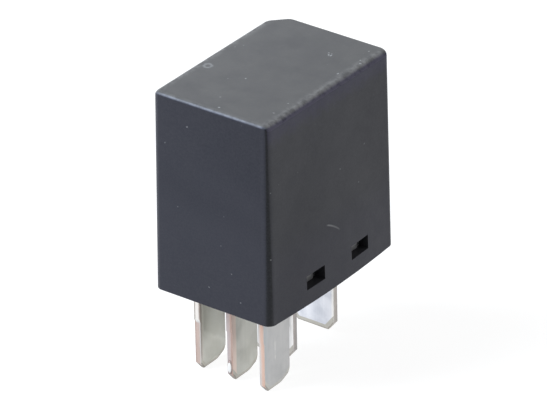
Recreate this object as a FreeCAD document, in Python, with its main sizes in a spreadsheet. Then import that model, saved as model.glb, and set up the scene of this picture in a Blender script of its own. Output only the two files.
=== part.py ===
import FreeCAD, Part
import math
import os

import Sketcher
from FreeCAD import Placement, Rotation, Vector

# Five-blade relay for a vehicle fuse box, in millimetres.
# X runs across the narrow side, Y along the long side, +Z up.
# The origin is the centre of the cover's lower rim, which rests on the socket.

SIZES = {
    # moulded cover
    "body_width": 16.8,
    "body_length": 24.5,
    "body_height": 25.7,
    "side_draft": 0.24,
    "cover_wall": 1.1,
    "cover_roof": 1.2,
    "front_corner": 1.1,
    "back_corner": 1.2,
    "cut_corner": 2.3,
    "cut_corner_round": 1.4,
    "inner_corner": 0.5,
    "front_top_edge": 0.45,
    "other_top_edge": 0.8,
    # the long walls bulge out, deepest at the middle of the rim
    "bulge_depth": 0.42,
    "bulge_margin": 1.3,
    "bulge_root": 0.4,
    "bulge_top_gap": 2.3,
    # windows, measured from the cover's two ends to their middles
    "window_width": 3.4,
    "window_height": 1.8,
    "window_sill": 1.96,
    "front_window_inset": 8.44,
    "back_window_inset": 7.37,
    # base plate that closes the cover
    "base_recess": 0.4,
    "base_thickness": 4.6,
    "base_gap": 0.1,
    "rail_height": 0.6,
    "rail_width": 1.8,
    "rail_inner_x": 3.7,
    "rail_front_margin": 0.4,
    "rail_back_margin": 0.85,
    "latch_width": 2.0,
    "latch_reach": 0.35,
    "latch_height": 1.5,
    "latch_gap": 0.05,
    "slot_gap": 0.05,
    # flat blades that enter the socket
    "blade_drop": 11.4,
    "blade_thickness": 0.8,
    "small_blade": 4.8,
    "large_blade": 6.3,
    "coil_pitch": 4.65,
    "front_blade_inset": 3.2,
    "middle_blade_gap": 3.7,
    "common_blade_inset": 4.8,
    "common_blade_lap": 4.6,
    "front_cut_width": 0.75,
    "front_cut_height": 1.0,
    "back_cut_width": 1.45,
    "back_cut_height": 1.0,
    "back_cut_round": 1.2,
    "large_cut_width": 0.95,
    "large_cut_height": 1.2,
    "coin_height": 0.75,
    "coin_depth": 0.2,
    "shoulder_drop": 4.9,
    "shoulder_step": 0.12,
    "shoulder_slope": 0.36,
    # posts for the ends of the coil wire
    "post_width": 1.3,
    "post_rise": 2.4,
    "post_tip": 0.25,
    "post_notch": 0.25,
    "post_waist": 0.75,
    # fixed contact arms
    "strap_depth": 0.1,
    "riser_inset": 1.15,
    "riser_width": 4.4,
    "riser_bend": 0.6,
    "arm_tab_width": 3.2,
    "arm_overhang": 1.3,
    "arm_bend": 1.0,
    "strip_floor": 0.8,
    "strip_height": 2.1,
    "break_plate_gap": 0.4,
    "break_plate_reach": 3.4,
    # magnet
    "yoke_thickness": 1.4,
    "yoke_side_margin": 0.4,
    "yoke_bend": 1.6,
    "yoke_toe_gap": 1.7,
    "room_over_pole": 4.9,
    "core_share": 0.44,
    "pole_step": 1.3,
    "pole_thickness": 1.0,
    "pole_ease": 0.2,
    "core_rivet_step": 1.0,
    "core_head_step": 0.6,
    "core_head": 0.35,
    "flange_side_gap": 1.4,
    "flange_back_gap": 0.55,
    "flange_front_gap": 1.05,
    "flange_thickness": 1.0,
    "bobbin_wall": 0.65,
    "bobbin_gap": 0.05,
    "lug_half_width": 5.6,
    "lug_notch": 2.8,
    "lug_root_gap": 0.2,
    "lug_gap": 0.15,
    "winding_inset": 0.3,
    "winding_gap": 0.03,
    "wire_radius": 0.11,
    "wire_gap": 0.02,
    "turn_pitch": 0.29,
    "lead_angle": 52.0,
    "lead_lift": 0.44,
    # armature and its spring
    "open_angle": 2.4,
    "residual_gap": 0.05,
    "armature_thickness": 1.3,
    "armature_side_margin": 1.0,
    "armature_end_gap": 1.15,
    "armature_heel": 0.15,
    "armature_heel_round": 1.1,
    "armature_corner": 1.6,
    "spring_thickness": 0.2,
    "spring_side_margin": 0.7,
    "spring_blade_gap": 0.5,
    "spring_bend": 1.1,
    "tongue_width": 2.8,
    "tongue_length": 5.15,
    "tongue_taper": 2.6,
    "tongue_end": 1.0,
    # contacts and rivets
    "contact_setback": 2.15,
    "contact_radius": 0.9,
    "upset_radius": 0.7,
    "contact_head": 0.45,
    "contact_round": 0.2,
    "contact_shank": 0.6,
    "contact_upset": 0.3,
    "contact_gap": 0.05,
    "rivet_radius": 0.65,
    "rivet_head_radius": 1.05,
    "rivet_head": 0.4,
    "rivet_gap": 0.02,
    "spring_hole_gap": 0.06,
    "yoke_rivet_x": 2.3,
    "yoke_rivet_rise": 2.1,
    "terminal_rivet_x": 1.9,
    "terminal_rivet_drop": 1.4,
    "armature_rivet_x": 2.3,
    "armature_rivet_reach": 5.6,
    # how far the outline of a cut reaches past what it cuts
    "cut_margin": 1.0,
}

SHEET = "sizes"
NEAR = 0.02
WIRE_TURNS = 2
WIRE_SIDES = 8


class Size:
    """A length or an angle: its number, and the sheet expression that gives it."""

    def __init__(self, number, text=None):
        self.number = float(number)
        self.text = text or f"{self.number:.9g}"

    def __add__(self, other):
        other = size_of(other)
        return Size(self.number + other.number, f"({self.text} + {other.text})")

    def __sub__(self, other):
        other = size_of(other)
        return Size(self.number - other.number, f"({self.text} - {other.text})")

    def __mul__(self, other):
        other = size_of(other)
        return Size(self.number * other.number, f"({self.text} * {other.text})")

    def __truediv__(self, other):
        other = size_of(other)
        return Size(self.number / other.number, f"({self.text} / {other.text})")

    def __neg__(self):
        return Size(-self.number, f"(-1 * {self.text})")


def size_of(value):
    return value if isinstance(value, Size) else Size(value)


def sine(angle):
    return Size(math.sin(math.radians(angle.number)), f"sin({angle.text} * 1 deg)")


def cosine(angle):
    return Size(math.cos(math.radians(angle.number)), f"cos({angle.text} * 1 deg)")


def arcsine(ratio):
    return Size(math.degrees(math.asin(ratio.number)), f"asin({ratio.text})")


def arctangent(slope):
    return Size(math.degrees(math.atan(slope.number)), f"atan({slope.text})")


def smaller(first, second):
    return Size(min(first.number, second.number), f"min({first.text}; {second.text})")


class Sheet:
    """The driving sizes and the levels worked out from them, each read by its name."""

    def __init__(self, values):
        self.cells = document.addObject("Spreadsheet::Sheet", SHEET)
        self.rows = 0
        for alias, number in values.items():
            self.add(alias, number, str(number))

    def add(self, alias, number, content):
        self.rows += 1
        self.cells.set(f"A{self.rows}", alias)
        self.cells.set(f"B{self.rows}", content)
        self.cells.setAlias(f"B{self.rows}", alias)
        setattr(self, alias, Size(number, f"{SHEET}.{alias}"))

    def work_out(self, **levels):
        """Give each level a row of its own, with its formula."""
        for alias, size in levels.items():
            self.add(alias, size.number, "=" + size.text.replace(f"{SHEET}.", ""))


document = FreeCAD.newDocument("relay")
dim = Sheet(SIZES)

# Levels and faces that several pieces share

dim.work_out(
    half_width=dim.body_width / 2,
    half_length=dim.body_length / 2,
    half_blade=dim.blade_thickness / 2,
    half_large=dim.large_blade / 2,
    half_tab=dim.arm_tab_width / 2,
    base_top=dim.base_recess + dim.base_thickness,
    tip_level=-dim.blade_drop,
    rivet_hole=dim.rivet_radius + dim.rivet_gap,
)
dim.work_out(
    slot_half=dim.half_blade + dim.slot_gap,
    small_front=dim.front_blade_inset - dim.half_length,
    common_blade_y=dim.half_length - dim.common_blade_inset,
    yoke_bottom=dim.base_top + dim.rail_height,
    strap_top=dim.base_top - dim.strap_depth,
    strip_bottom=dim.base_recess + dim.strip_floor,
    break_plate_y=dim.cover_wall + dim.break_plate_gap - dim.half_length,
)
dim.work_out(
    small_back=dim.small_front + dim.small_blade,
    hinge_y=dim.common_blade_y - dim.half_blade,
    yoke_floor=dim.yoke_bottom + dim.yoke_thickness,
    post_back=dim.small_front + dim.post_width,
    riser_y=dim.small_front + dim.riser_inset,
    strap_bottom=dim.strap_top - dim.blade_thickness,
    common_blade_top=dim.yoke_bottom + dim.common_blade_lap,
)
dim.work_out(
    middle_blade_y=dim.small_back + dim.middle_blade_gap,
    yoke_inner_y=dim.hinge_y - dim.yoke_thickness,
    riser_back=dim.riser_y + dim.blade_thickness,
    lug_top=dim.yoke_floor + dim.flange_thickness,
    pole_level=dim.body_height - dim.cover_roof - dim.room_over_pole,
    spring_bottom=dim.common_blade_top + dim.spring_blade_gap,
    terminal_rivet_z=dim.common_blade_top - dim.terminal_rivet_drop,
    contact_reach=dim.hinge_y - dim.break_plate_y - dim.contact_setback,
)
room_along = dim.yoke_inner_y - dim.flange_back_gap - dim.post_back - dim.flange_front_gap
room_across = dim.half_width - dim.cover_wall - dim.flange_side_gap
dim.work_out(
    flange_radius=smaller(room_along / 2, room_across),
    yoke_front_y=dim.riser_back + dim.yoke_toe_gap,
    post_top=dim.lug_top + dim.post_rise,
    pole_bottom=dim.pole_level - dim.pole_thickness,
    yoke_rivet_z=dim.spring_bottom + dim.yoke_rivet_rise,
    armature_length=dim.contact_reach - dim.contact_radius - dim.armature_end_gap,
)
dim.work_out(
    core_y=dim.yoke_inner_y - dim.flange_back_gap - dim.flange_radius,
    core_radius=dim.flange_radius * dim.core_share,
    winding_radius=dim.flange_radius - dim.winding_inset,
    half_yoke=dim.flange_radius - dim.yoke_side_margin,
    waist_top=dim.post_top - dim.post_tip - dim.post_notch,
)
dim.work_out(
    pole_radius=dim.core_radius + dim.pole_step,
    core_rivet_radius=dim.core_radius - dim.core_rivet_step,
    half_armature=dim.half_yoke - dim.armature_side_margin,
    waist_bottom=dim.waist_top - dim.post_waist,
)
dim.work_out(
    core_head_radius=dim.core_rivet_radius + dim.core_head_step,
    half_spring=dim.half_armature - dim.spring_side_margin,
)

# The moving contact's upper face at rest, and its lower face when the coil is on.
# The fixed contacts and their tabs are placed from these two faces.

dim.work_out(
    hinge_z=dim.pole_level + dim.residual_gap,
    rest_sine=sine(dim.open_angle),
    rest_cosine=cosine(dim.open_angle),
    spring_top=dim.armature_thickness + dim.spring_thickness,
    lower_face=dim.armature_thickness - dim.contact_head,
)
dim.work_out(upper_face=dim.spring_top + dim.contact_head)
face_back = dim.upper_face * dim.rest_sine - dim.contact_reach * dim.rest_cosine
face_rise = dim.contact_reach * dim.rest_sine + dim.upper_face * dim.rest_cosine
dim.work_out(
    break_contact_y=dim.hinge_y + face_back,
    break_face_z=dim.hinge_z + face_rise + dim.contact_gap,
    make_contact_y=dim.hinge_y - dim.contact_reach,
    make_face_z=dim.hinge_z + dim.lower_face - dim.contact_gap,
)
dim.work_out(
    break_tab_bottom=dim.break_face_z + dim.contact_head,
    make_tab_top=dim.make_face_z - dim.contact_head,
)
dim.work_out(
    break_tab_top=dim.break_tab_bottom + dim.blade_thickness,
    make_tab_bottom=dim.make_tab_top - dim.blade_thickness,
)
document.recompute()


# Shared steps


def bind(feature, path, size):
    feature.setExpression(path, size_of(size).text)


def new_body(label, x=0, y=0, z=0):
    body = document.addObject("PartDesign::Body", label)
    body.Label = label
    for path, size in (("x", x), ("y", y), ("z", z)):
        bind(body, f"Placement.Base.{path}", size)
    return body


def turn_about_x(body, angle):
    """Turn a body about its own X axis, by an angle tied to the sheet."""
    angle = size_of(angle)
    turned = Rotation(Vector(1, 0, 0), angle.number)
    body.Placement = Placement(body.Placement.Base, turned)
    bind(body, "Placement.Rotation.Angle", angle)
    for path, share in (("x", 1), ("y", 0), ("z", 0)):
        bind(body, f"Placement.Rotation.Axis.{path}", share)


def own_plane(body, role):
    return next(o for o in body.Origin.OriginFeatures if o.Role == role)


def new_sketch(body, plane, offset=0):
    """A sketch on one of the body's own planes, moved along the plane's normal."""
    sketch = body.newObject("Sketcher::SketchObject", f"{body.Name}_sketch")
    sketch.AttachmentSupport = [(own_plane(body, plane), "")]
    sketch.MapMode = "FlatFace"
    bind(sketch, "AttachmentOffset.Base.z", offset)
    return sketch


def tie_point(sketch, geometry, point, x, y):
    for kind, size in (("DistanceX", size_of(x)), ("DistanceY", size_of(y))):
        constraint = Sketcher.Constraint(kind, -1, 1, geometry, point, size.number)
        bind(sketch, f"Constraints[{sketch.addConstraint(constraint)}]", size)


def draw_polygon(sketch, corners):
    """Close straight edges through the corners, each tied to the sheet."""
    first = sketch.GeometryCount
    count = len(corners)
    points = [Vector(size_of(x).number, size_of(y).number, 0) for x, y in corners]
    for start, end in zip(points, points[1:] + points[:1]):
        sketch.addGeometry(Part.LineSegment(start, end), False)
    for index, (x, y) in enumerate(corners):
        before = first + (index - 1) % count
        sketch.addConstraint(Sketcher.Constraint("Coincident", before, 2, first + index, 1))
        tie_point(sketch, first + index, 1, x, y)


def draw_rectangle(sketch, x0, x1, y0, y1):
    draw_polygon(sketch, [(x0, y0), (x1, y0), (x1, y1), (x0, y1)])


def draw_circle(sketch, x, y, radius):
    radius = size_of(radius)
    centre = Vector(size_of(x).number, size_of(y).number, 0)
    circle = sketch.addGeometry(Part.Circle(centre, Vector(0, 0, 1), radius.number), False)
    tie_point(sketch, circle, 3, x, y)
    constraint = sketch.addConstraint(Sketcher.Constraint("Radius", circle, radius.number))
    bind(sketch, f"Constraints[{constraint}]", radius)


def pad(body, sketch, length, symmetric=False):
    feature = body.newObject("PartDesign::Pad", f"{body.Name}_pad")
    feature.Profile = sketch
    feature.SideType = "Symmetric" if symmetric else "One side"
    bind(feature, "Length", length)
    return feature


def pocket(body, sketch, length):
    """Cut against the sketch's normal, down from an XY sketch."""
    feature = body.newObject("PartDesign::Pocket", f"{body.Name}_pocket")
    feature.Profile = sketch
    bind(feature, "Length", length)
    return feature


def cut_through(body, sketch):
    feature = body.newObject("PartDesign::Pocket", f"{body.Name}_cut")
    feature.Profile = sketch
    feature.Type = "ThroughAll"
    feature.SideType = "Symmetric"
    return feature


def revolve(body, corners, offset=0):
    """Turn a half profile of radius and height about the sketch's upright axis."""
    sketch = new_sketch(body, "XZ_Plane", offset)
    draw_polygon(sketch, corners)
    feature = body.newObject("PartDesign::Revolution", f"{body.Name}_revolution")
    feature.Profile = sketch
    feature.ReferenceAxis = (sketch, ["V_Axis"])
    feature.Angle = 360
    return feature


def edges_along(body, axis, *places):
    """Names of the straight edges along an axis that pass through one of the places.

    Each place gives the two other coordinates, in X, Y, Z order.
    """
    document.recompute()
    others = [i for i in range(3) if i != "XYZ".index(axis)]
    wanted = [[size_of(c).number for c in place] for place in places]
    names = []
    for index, edge in enumerate(body.Tip.Shape.Edges, 1):
        ends = [vertex.Point for vertex in edge.Vertexes]
        if any(
            len(ends) == 2
            and all(abs(end[i] - c) < NEAR for end in ends for i, c in zip(others, place))
            for place in wanted
        ):
            names.append(f"Edge{index}")
    return names


def dress(body, kind, edges, path, size):
    """Round or bevel some of a body's edges."""
    base = body.Tip
    feature = body.newObject(f"PartDesign::{kind}", f"{body.Name}_{kind.lower()}")
    feature.Base = (base, edges)
    bind(feature, path, size)
    body.Tip = feature
    document.recompute()


def fillet(body, edges, radius):
    dress(body, "Fillet", edges, "Radius", radius)


def chamfer(body, edges, size):
    dress(body, "Chamfer", edges, "Size", size)


def both_ways(size):
    return (-size, size)


# Cover: a drafted box, open below, with one cut corner and two windows in each long wall


def cornered(half_x, half_y, cut):
    """Corners of a rectangle whose left back corner is cut off."""
    return [
        (-half_x, -half_y),
        (half_x, -half_y),
        (half_x, half_y),
        (cut - half_x, half_y),
        (-half_x, half_y - cut),
    ]


def inner_cut(inset):
    """Size of the cut corner on an outline that lies inside the cover's by an inset."""
    return dim.cut_corner - inset * (2 - math.sqrt(2))


def drafted_block(label, inset, height):
    """A block inside the cover's outline by an inset, with the cover's draft."""
    body = new_body(label)
    rim = new_sketch(body, "XY_Plane")
    draw_polygon(
        rim, cornered(dim.half_width - inset, dim.half_length - inset, inner_cut(inset))
    )
    block = pad(body, rim, height)
    document.recompute()
    sides = [
        f"Face{index}"
        for index, face in enumerate(block.Shape.Faces, 1)
        if face.BoundBox.ZLength > NEAR
    ]
    draft = body.newObject("PartDesign::Draft", f"{label}_draft")
    draft.Base = (block, sides)
    draft.NeutralPlane = (own_plane(body, "XY_Plane"), [""])
    bind(draft, "Angle", arctangent(dim.side_draft / dim.body_height))
    body.Tip = draft
    document.recompute()
    return body


def upright_edges(shape):
    """Edges that run from bottom to top: the front two, the right back one, the cut two."""
    front, right, cut = [], [], []
    for index, edge in enumerate(shape.Edges, 1):
        box = edge.BoundBox
        if box.ZLength > box.XLength + box.YLength:
            group = front if box.Center.y < 0 else right if box.Center.x > 0 else cut
            group.append(index)
    return front, right, cut


def top_edges(shape):
    """Numbers of the edges round the top, the front one first."""
    top = shape.BoundBox.ZMax
    found = [
        (edge.BoundBox.Center.y, index)
        for index, edge in enumerate(shape.Edges, 1)
        if edge.BoundBox.ZMin > top - NEAR
    ]
    return [index for _, index in sorted(found)]


def rounded(label, block, rounds):
    """Round a block's edges, each group of them with its own radius."""
    feature = document.addObject("Part::Fillet", label)
    feature.Base = block
    feature.Edges = [
        (edge, radius.number, radius.number) for edges, radius in rounds for edge in edges
    ]
    document.recompute()
    return feature


def joined(label, operation, base, tool):
    """Join two shapes with a Fuse, or take the second from the first with a Cut."""
    feature = document.addObject(f"Part::{operation}", label)
    feature.Base = base
    feature.Tool = tool
    return feature


def make_bulge(label, side, margin):
    """Swelling of one long wall: part of a wide cone, gone before the wall's ends and top."""
    half_chord = dim.half_length - margin
    depth = dim.bulge_depth
    rise = dim.body_height - dim.bulge_top_gap
    radius = (half_chord * half_chord + depth * depth) / (depth * 2)
    lean = depth + dim.side_draft * rise / dim.body_height
    root = radius - depth - dim.bulge_root
    body = new_body(label, x=(dim.half_width + depth - radius) * side)
    swelling = revolve(body, [
        (root * side, 0),
        (radius * side, 0),
        ((radius - lean) * side, rise),
        (root * side, rise),
    ])
    swelling.Midplane = True
    bind(swelling, "Angle", arcsine(half_chord / radius) * 2)
    return body


def make_cover():
    block = drafted_block("cover_block", size_of(0), dim.body_height)
    front, right, cut = upright_edges(block.Shape)
    front_edge, *other_edges = top_edges(block.Shape)
    outside = rounded("cover_outside", block, [
        (front, dim.front_corner),
        (right, dim.back_corner),
        (cut, dim.cut_corner_round),
        ([front_edge], dim.front_top_edge),
        (other_edges, dim.other_top_edge),
    ])
    # the left wall's flat part ends sooner, at the cut corner
    beside_cut = dim.cut_corner + dim.cut_corner_round / 2
    for side, name, margin in ((1, "right", dim.bulge_margin), (-1, "left", beside_cut)):
        bulge = make_bulge(f"bulge_{name}", side, margin)
        outside = joined(f"cover_with_{name}", "Fuse", outside, bulge)
    hollow = drafted_block(
        "cover_hollow_block", dim.cover_wall, dim.body_height - dim.cover_roof
    )
    corners = sum(upright_edges(hollow.Shape), [])
    inside = rounded("cover_hollow", hollow, [(corners, dim.inner_corner)])
    windows = new_body("cover_windows")
    sketch = new_sketch(windows, "YZ_Plane")
    for centre in window_places():
        draw_rectangle(
            sketch,
            centre - dim.window_width / 2,
            centre + dim.window_width / 2,
            dim.window_sill,
            dim.window_sill + dim.window_height,
        )
    pad(windows, sketch, dim.body_width + dim.cut_margin * 2, symmetric=True)
    shell = joined("cover_shell", "Cut", outside, inside)
    return joined("cover", "Cut", shell, windows)


def window_places():
    """Y of the middle of the front and the back window."""
    return (
        dim.front_window_inset - dim.half_length,
        dim.half_length - dim.back_window_inset,
    )


# Base: a plate inside the rim, with slots for the blades and teeth for the windows


def make_base():
    body = new_body("base")
    inset = dim.cover_wall + dim.base_gap
    plate_x = dim.half_width - inset
    corners = cornered(plate_x, dim.half_length - inset, inner_cut(inset))
    plate = new_sketch(body, "XY_Plane", dim.base_recess)
    draw_polygon(plate, corners)
    pad(body, plate, dim.base_thickness)
    fillet(body, edges_along(body, "Z", *corners), dim.inner_corner + dim.base_gap)

    # rails that carry the yoke
    rails = new_sketch(body, "XY_Plane", dim.base_top)
    rail_ends = (
        dim.yoke_front_y + dim.rail_front_margin,
        dim.yoke_inner_y - dim.rail_back_margin,
    )
    rail_outer_x = dim.rail_inner_x + dim.rail_width
    draw_rectangle(rails, dim.rail_inner_x, rail_outer_x, *rail_ends)
    draw_rectangle(rails, -rail_outer_x, -dim.rail_inner_x, *rail_ends)
    pad(body, rails, dim.rail_height)

    # teeth that snap into the cover's windows, flat below and sloped above
    tooth_bottom = dim.window_sill + dim.latch_gap
    for centre in window_places():
        tooth = new_sketch(body, "XZ_Plane", -centre)
        for side in (1, -1):
            root = (plate_x - dim.latch_reach) * side
            edge = (plate_x + dim.latch_reach) * side
            draw_polygon(tooth, [
                (root, tooth_bottom),
                (edge, tooth_bottom),
                (edge, tooth_bottom + dim.latch_height / 2),
                (plate_x * side, tooth_bottom + dim.latch_height),
                (root, tooth_bottom + dim.latch_height),
            ])
        pad(body, tooth, dim.latch_width, symmetric=True)

    # one slot for each blade, right through
    slots = new_sketch(body, "XY_Plane")
    shoulder = dim.shoulder_step + dim.slot_gap
    slot_ends = (dim.small_front - shoulder, dim.small_back + shoulder)
    for x in (-dim.coil_pitch, size_of(0), dim.coil_pitch):
        draw_rectangle(slots, x - dim.slot_half, x + dim.slot_half, *slot_ends)
    slot_x = dim.half_large + dim.slot_gap
    for y in (dim.middle_blade_y, dim.common_blade_y):
        draw_rectangle(slots, -slot_x, slot_x, y - dim.slot_half, y + dim.slot_half)
    cut_through(body, slots)

    # bed for the strap of the make contact's arm
    bed = new_sketch(body, "XY_Plane", dim.base_top)
    draw_rectangle(
        bed, -slot_x, slot_x, dim.riser_y - dim.slot_gap, dim.middle_blade_y + dim.slot_half
    )
    pocket(body, bed, dim.base_top - dim.strap_bottom + dim.slot_gap)

    # well for the folded strip and upright plate of the break contact's arm
    well = new_sketch(body, "XY_Plane", dim.base_top)
    well_front = dim.break_plate_y - dim.slot_gap
    well_back = dim.break_plate_y + dim.blade_thickness + dim.slot_gap
    well_side = dim.break_plate_reach + dim.slot_gap
    draw_polygon(well, [
        (-dim.slot_half, dim.small_front),
        (-dim.slot_half, well_front),
        (well_side, well_front),
        (well_side, well_back),
        (dim.slot_half, well_back),
        (dim.slot_half, dim.small_front),
    ])
    pocket(body, well, dim.base_top - dim.strip_bottom + dim.slot_gap)
    return body


# Blades


def small_blade(label, x, top):
    """A small blade up to a level: cut corners, a slight shoulder and a thin tip."""
    body = new_body(label)
    outline = new_sketch(body, "YZ_Plane", x)
    front = dim.small_front
    back = dim.small_back
    step = dim.shoulder_step
    neck = -dim.shoulder_drop
    draw_polygon(outline, [
        (front + dim.front_cut_width, dim.tip_level),
        (back - dim.back_cut_width, dim.tip_level),
        (back, dim.tip_level + dim.back_cut_height),
        (back, neck),
        (back + step, neck + dim.shoulder_slope),
        (back + step, top),
        (front - step, top),
        (front - step, neck + dim.shoulder_slope),
        (front, neck),
        (front, dim.tip_level + dim.front_cut_height),
    ])
    pad(body, outline, dim.blade_thickness, symmetric=True)
    cut_corners = edges_along(
        body,
        "X",
        (back - dim.back_cut_width, dim.tip_level),
        (back, dim.tip_level + dim.back_cut_height),
    )
    fillet(body, cut_corners, dim.back_cut_round)
    coin_tip(body, "XZ_Plane", x)
    return body


def coin_tip(body, plane, centre):
    """Press the tip thin from both faces, over the width of the blade."""
    sketch = new_sketch(body, plane)
    pressed = dim.tip_level + dim.coin_height
    for side in (1, -1):
        face = centre + dim.half_blade * side
        beyond = face + dim.coin_depth * side
        draw_polygon(sketch, [
            (face, pressed),
            (face - dim.coin_depth * side, dim.tip_level),
            (beyond, dim.tip_level),
            (beyond, pressed),
        ])
    cut_through(body, sketch)


def cut_large_corners(body):
    """Take both lower corners off a large blade."""
    sketch = new_sketch(body, "XZ_Plane")
    cut_top = dim.tip_level + dim.large_cut_height
    below = dim.tip_level - dim.cut_margin
    for side in (1, -1):
        beyond = (dim.half_large + dim.cut_margin) * side
        foot = (dim.half_large - dim.large_cut_width) * side
        draw_polygon(sketch, [
            (dim.half_large * side, cut_top),
            (beyond, cut_top),
            (beyond, below),
            (foot, below),
            (foot, dim.tip_level),
        ])
    cut_through(body, sketch)


def make_coil_terminal(label, side):
    """Blade with a narrow post above the base, notched where the wire is wound."""
    x = dim.coil_pitch * side
    body = small_blade(label, x, dim.base_top)
    post = new_sketch(body, "YZ_Plane", x)
    front = dim.small_front
    back = dim.post_back
    notch = dim.post_notch
    draw_polygon(post, [
        (front, dim.base_top - dim.slot_gap),
        (back, dim.base_top - dim.slot_gap),
        (back, dim.waist_bottom - notch),
        (back - notch, dim.waist_bottom),
        (back - notch, dim.waist_top),
        (back, dim.waist_top + notch),
        (back, dim.post_top),
        (front, dim.post_top),
        (front, dim.waist_top + notch),
        (front + notch, dim.waist_top),
        (front + notch, dim.waist_bottom),
        (front, dim.waist_bottom - notch),
    ])
    pad(body, post, dim.blade_thickness, symmetric=True)
    return body


def make_break_terminal():
    """Blade, strip folded along the front wall, upright plate and a tab folded over."""
    strip_top = dim.strip_bottom + dim.strip_height
    body = small_blade("break_terminal", size_of(0), strip_top)
    plate_back = dim.break_plate_y + dim.blade_thickness
    strip = new_sketch(body, "XY_Plane", dim.strip_bottom)
    draw_polygon(strip, [
        (-dim.half_blade, dim.small_front),
        (-dim.half_blade, dim.break_plate_y),
        (dim.break_plate_reach, dim.break_plate_y),
        (dim.break_plate_reach, plate_back),
        (dim.half_blade, plate_back),
        (dim.half_blade, dim.small_front),
    ])
    pad(body, strip, dim.strip_height)

    # upright plate, narrowed to the width of the tab
    upright = new_sketch(body, "XZ_Plane", -dim.break_plate_y)
    plate_top = dim.break_tab_bottom - dim.arm_tab_width
    draw_polygon(upright, [
        (-dim.half_blade, dim.strip_bottom),
        (dim.break_plate_reach, dim.strip_bottom),
        (dim.break_plate_reach, plate_top),
        (dim.half_tab, dim.break_tab_bottom - dim.half_tab),
        (dim.half_tab, dim.break_tab_top),
        (-dim.half_tab, dim.break_tab_top),
        (-dim.half_tab, dim.break_tab_bottom - dim.half_tab),
        (-dim.half_blade, plate_top),
    ])
    pad(body, upright, dim.blade_thickness).Reversed = True

    tab = new_sketch(body, "XY_Plane", dim.break_tab_bottom)
    tab_end = dim.break_contact_y + dim.arm_overhang
    draw_rectangle(tab, -dim.half_tab, dim.half_tab, dim.break_plate_y, tab_end)
    pad(body, tab, dim.blade_thickness)
    outer_bend = (dim.break_plate_y, dim.break_tab_top)
    fillet(body, edges_along(body, "X", outer_bend), dim.arm_bend)
    hole = new_sketch(body, "XY_Plane", dim.break_tab_top)
    draw_circle(hole, 0, dim.break_contact_y, dim.contact_shank + dim.rivet_gap)
    pocket(body, hole, dim.blade_thickness)
    return body


def make_make_terminal():
    """Blade, strap along the base, riser and a tab folded forward, from one strip."""
    body = new_body("make_terminal")
    back = dim.middle_blade_y + dim.half_blade
    front = dim.middle_blade_y - dim.half_blade
    profile = new_sketch(body, "YZ_Plane")
    tab_front = dim.make_contact_y - dim.arm_overhang
    draw_polygon(profile, [
        (front, dim.tip_level),
        (back, dim.tip_level),
        (back, dim.strap_top),
        (dim.riser_back, dim.strap_top),
        (dim.riser_back, dim.make_tab_top),
        (tab_front, dim.make_tab_top),
        (tab_front, dim.make_tab_bottom),
        (dim.riser_y, dim.make_tab_bottom),
        (dim.riser_y, dim.strap_bottom),
        (front, dim.strap_bottom),
    ])
    pad(body, profile, dim.large_blade, symmetric=True)

    # riser and tab are narrower than the blade
    flank = new_sketch(body, "XZ_Plane")
    half_riser = dim.riser_width / 2
    above = dim.make_tab_top + dim.cut_margin
    for side in (1, -1):
        beyond = (dim.half_large + dim.cut_margin) * side
        draw_polygon(flank, [
            (half_riser * side, dim.strap_top),
            (beyond, dim.strap_top),
            (beyond, above),
            (dim.half_tab * side, above),
            (dim.half_tab * side, dim.make_tab_bottom - dim.half_tab),
            (half_riser * side, dim.make_tab_bottom - dim.arm_tab_width),
        ])
    cut_through(body, flank)
    fillet(body, edges_along(body, "X", (dim.riser_back, dim.make_tab_top)), dim.riser_bend)
    fillet(body, edges_along(body, "X", (back, dim.strap_top)), dim.blade_thickness)
    cut_large_corners(body)
    coin_tip(body, "YZ_Plane", dim.middle_blade_y)
    hole = new_sketch(body, "XY_Plane", dim.make_tab_top)
    draw_circle(hole, 0, dim.make_contact_y, dim.contact_shank + dim.rivet_gap)
    pocket(body, hole, dim.blade_thickness)
    return body


def make_common_terminal():
    """Blade that laps the back of the yoke, with holes for its two rivets."""
    body = new_body("common_terminal")
    outline = new_sketch(body, "XZ_Plane", -dim.common_blade_y)
    top = dim.common_blade_top
    draw_rectangle(outline, -dim.half_large, dim.half_large, dim.tip_level, top)
    pad(body, outline, dim.blade_thickness, symmetric=True)
    cut_large_corners(body)
    coin_tip(body, "YZ_Plane", dim.common_blade_y)
    holes = new_sketch(body, "XZ_Plane")
    for x in both_ways(dim.terminal_rivet_x):
        draw_circle(holes, x, dim.terminal_rivet_z, dim.rivet_hole)
    cut_through(body, holes)
    corners = [(x, top) for x in both_ways(dim.half_large)]
    chamfer(body, edges_along(body, "Y", *corners), dim.large_cut_width)
    return body


# Magnet: bent yoke, core riveted into it, bobbin and winding


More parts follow.
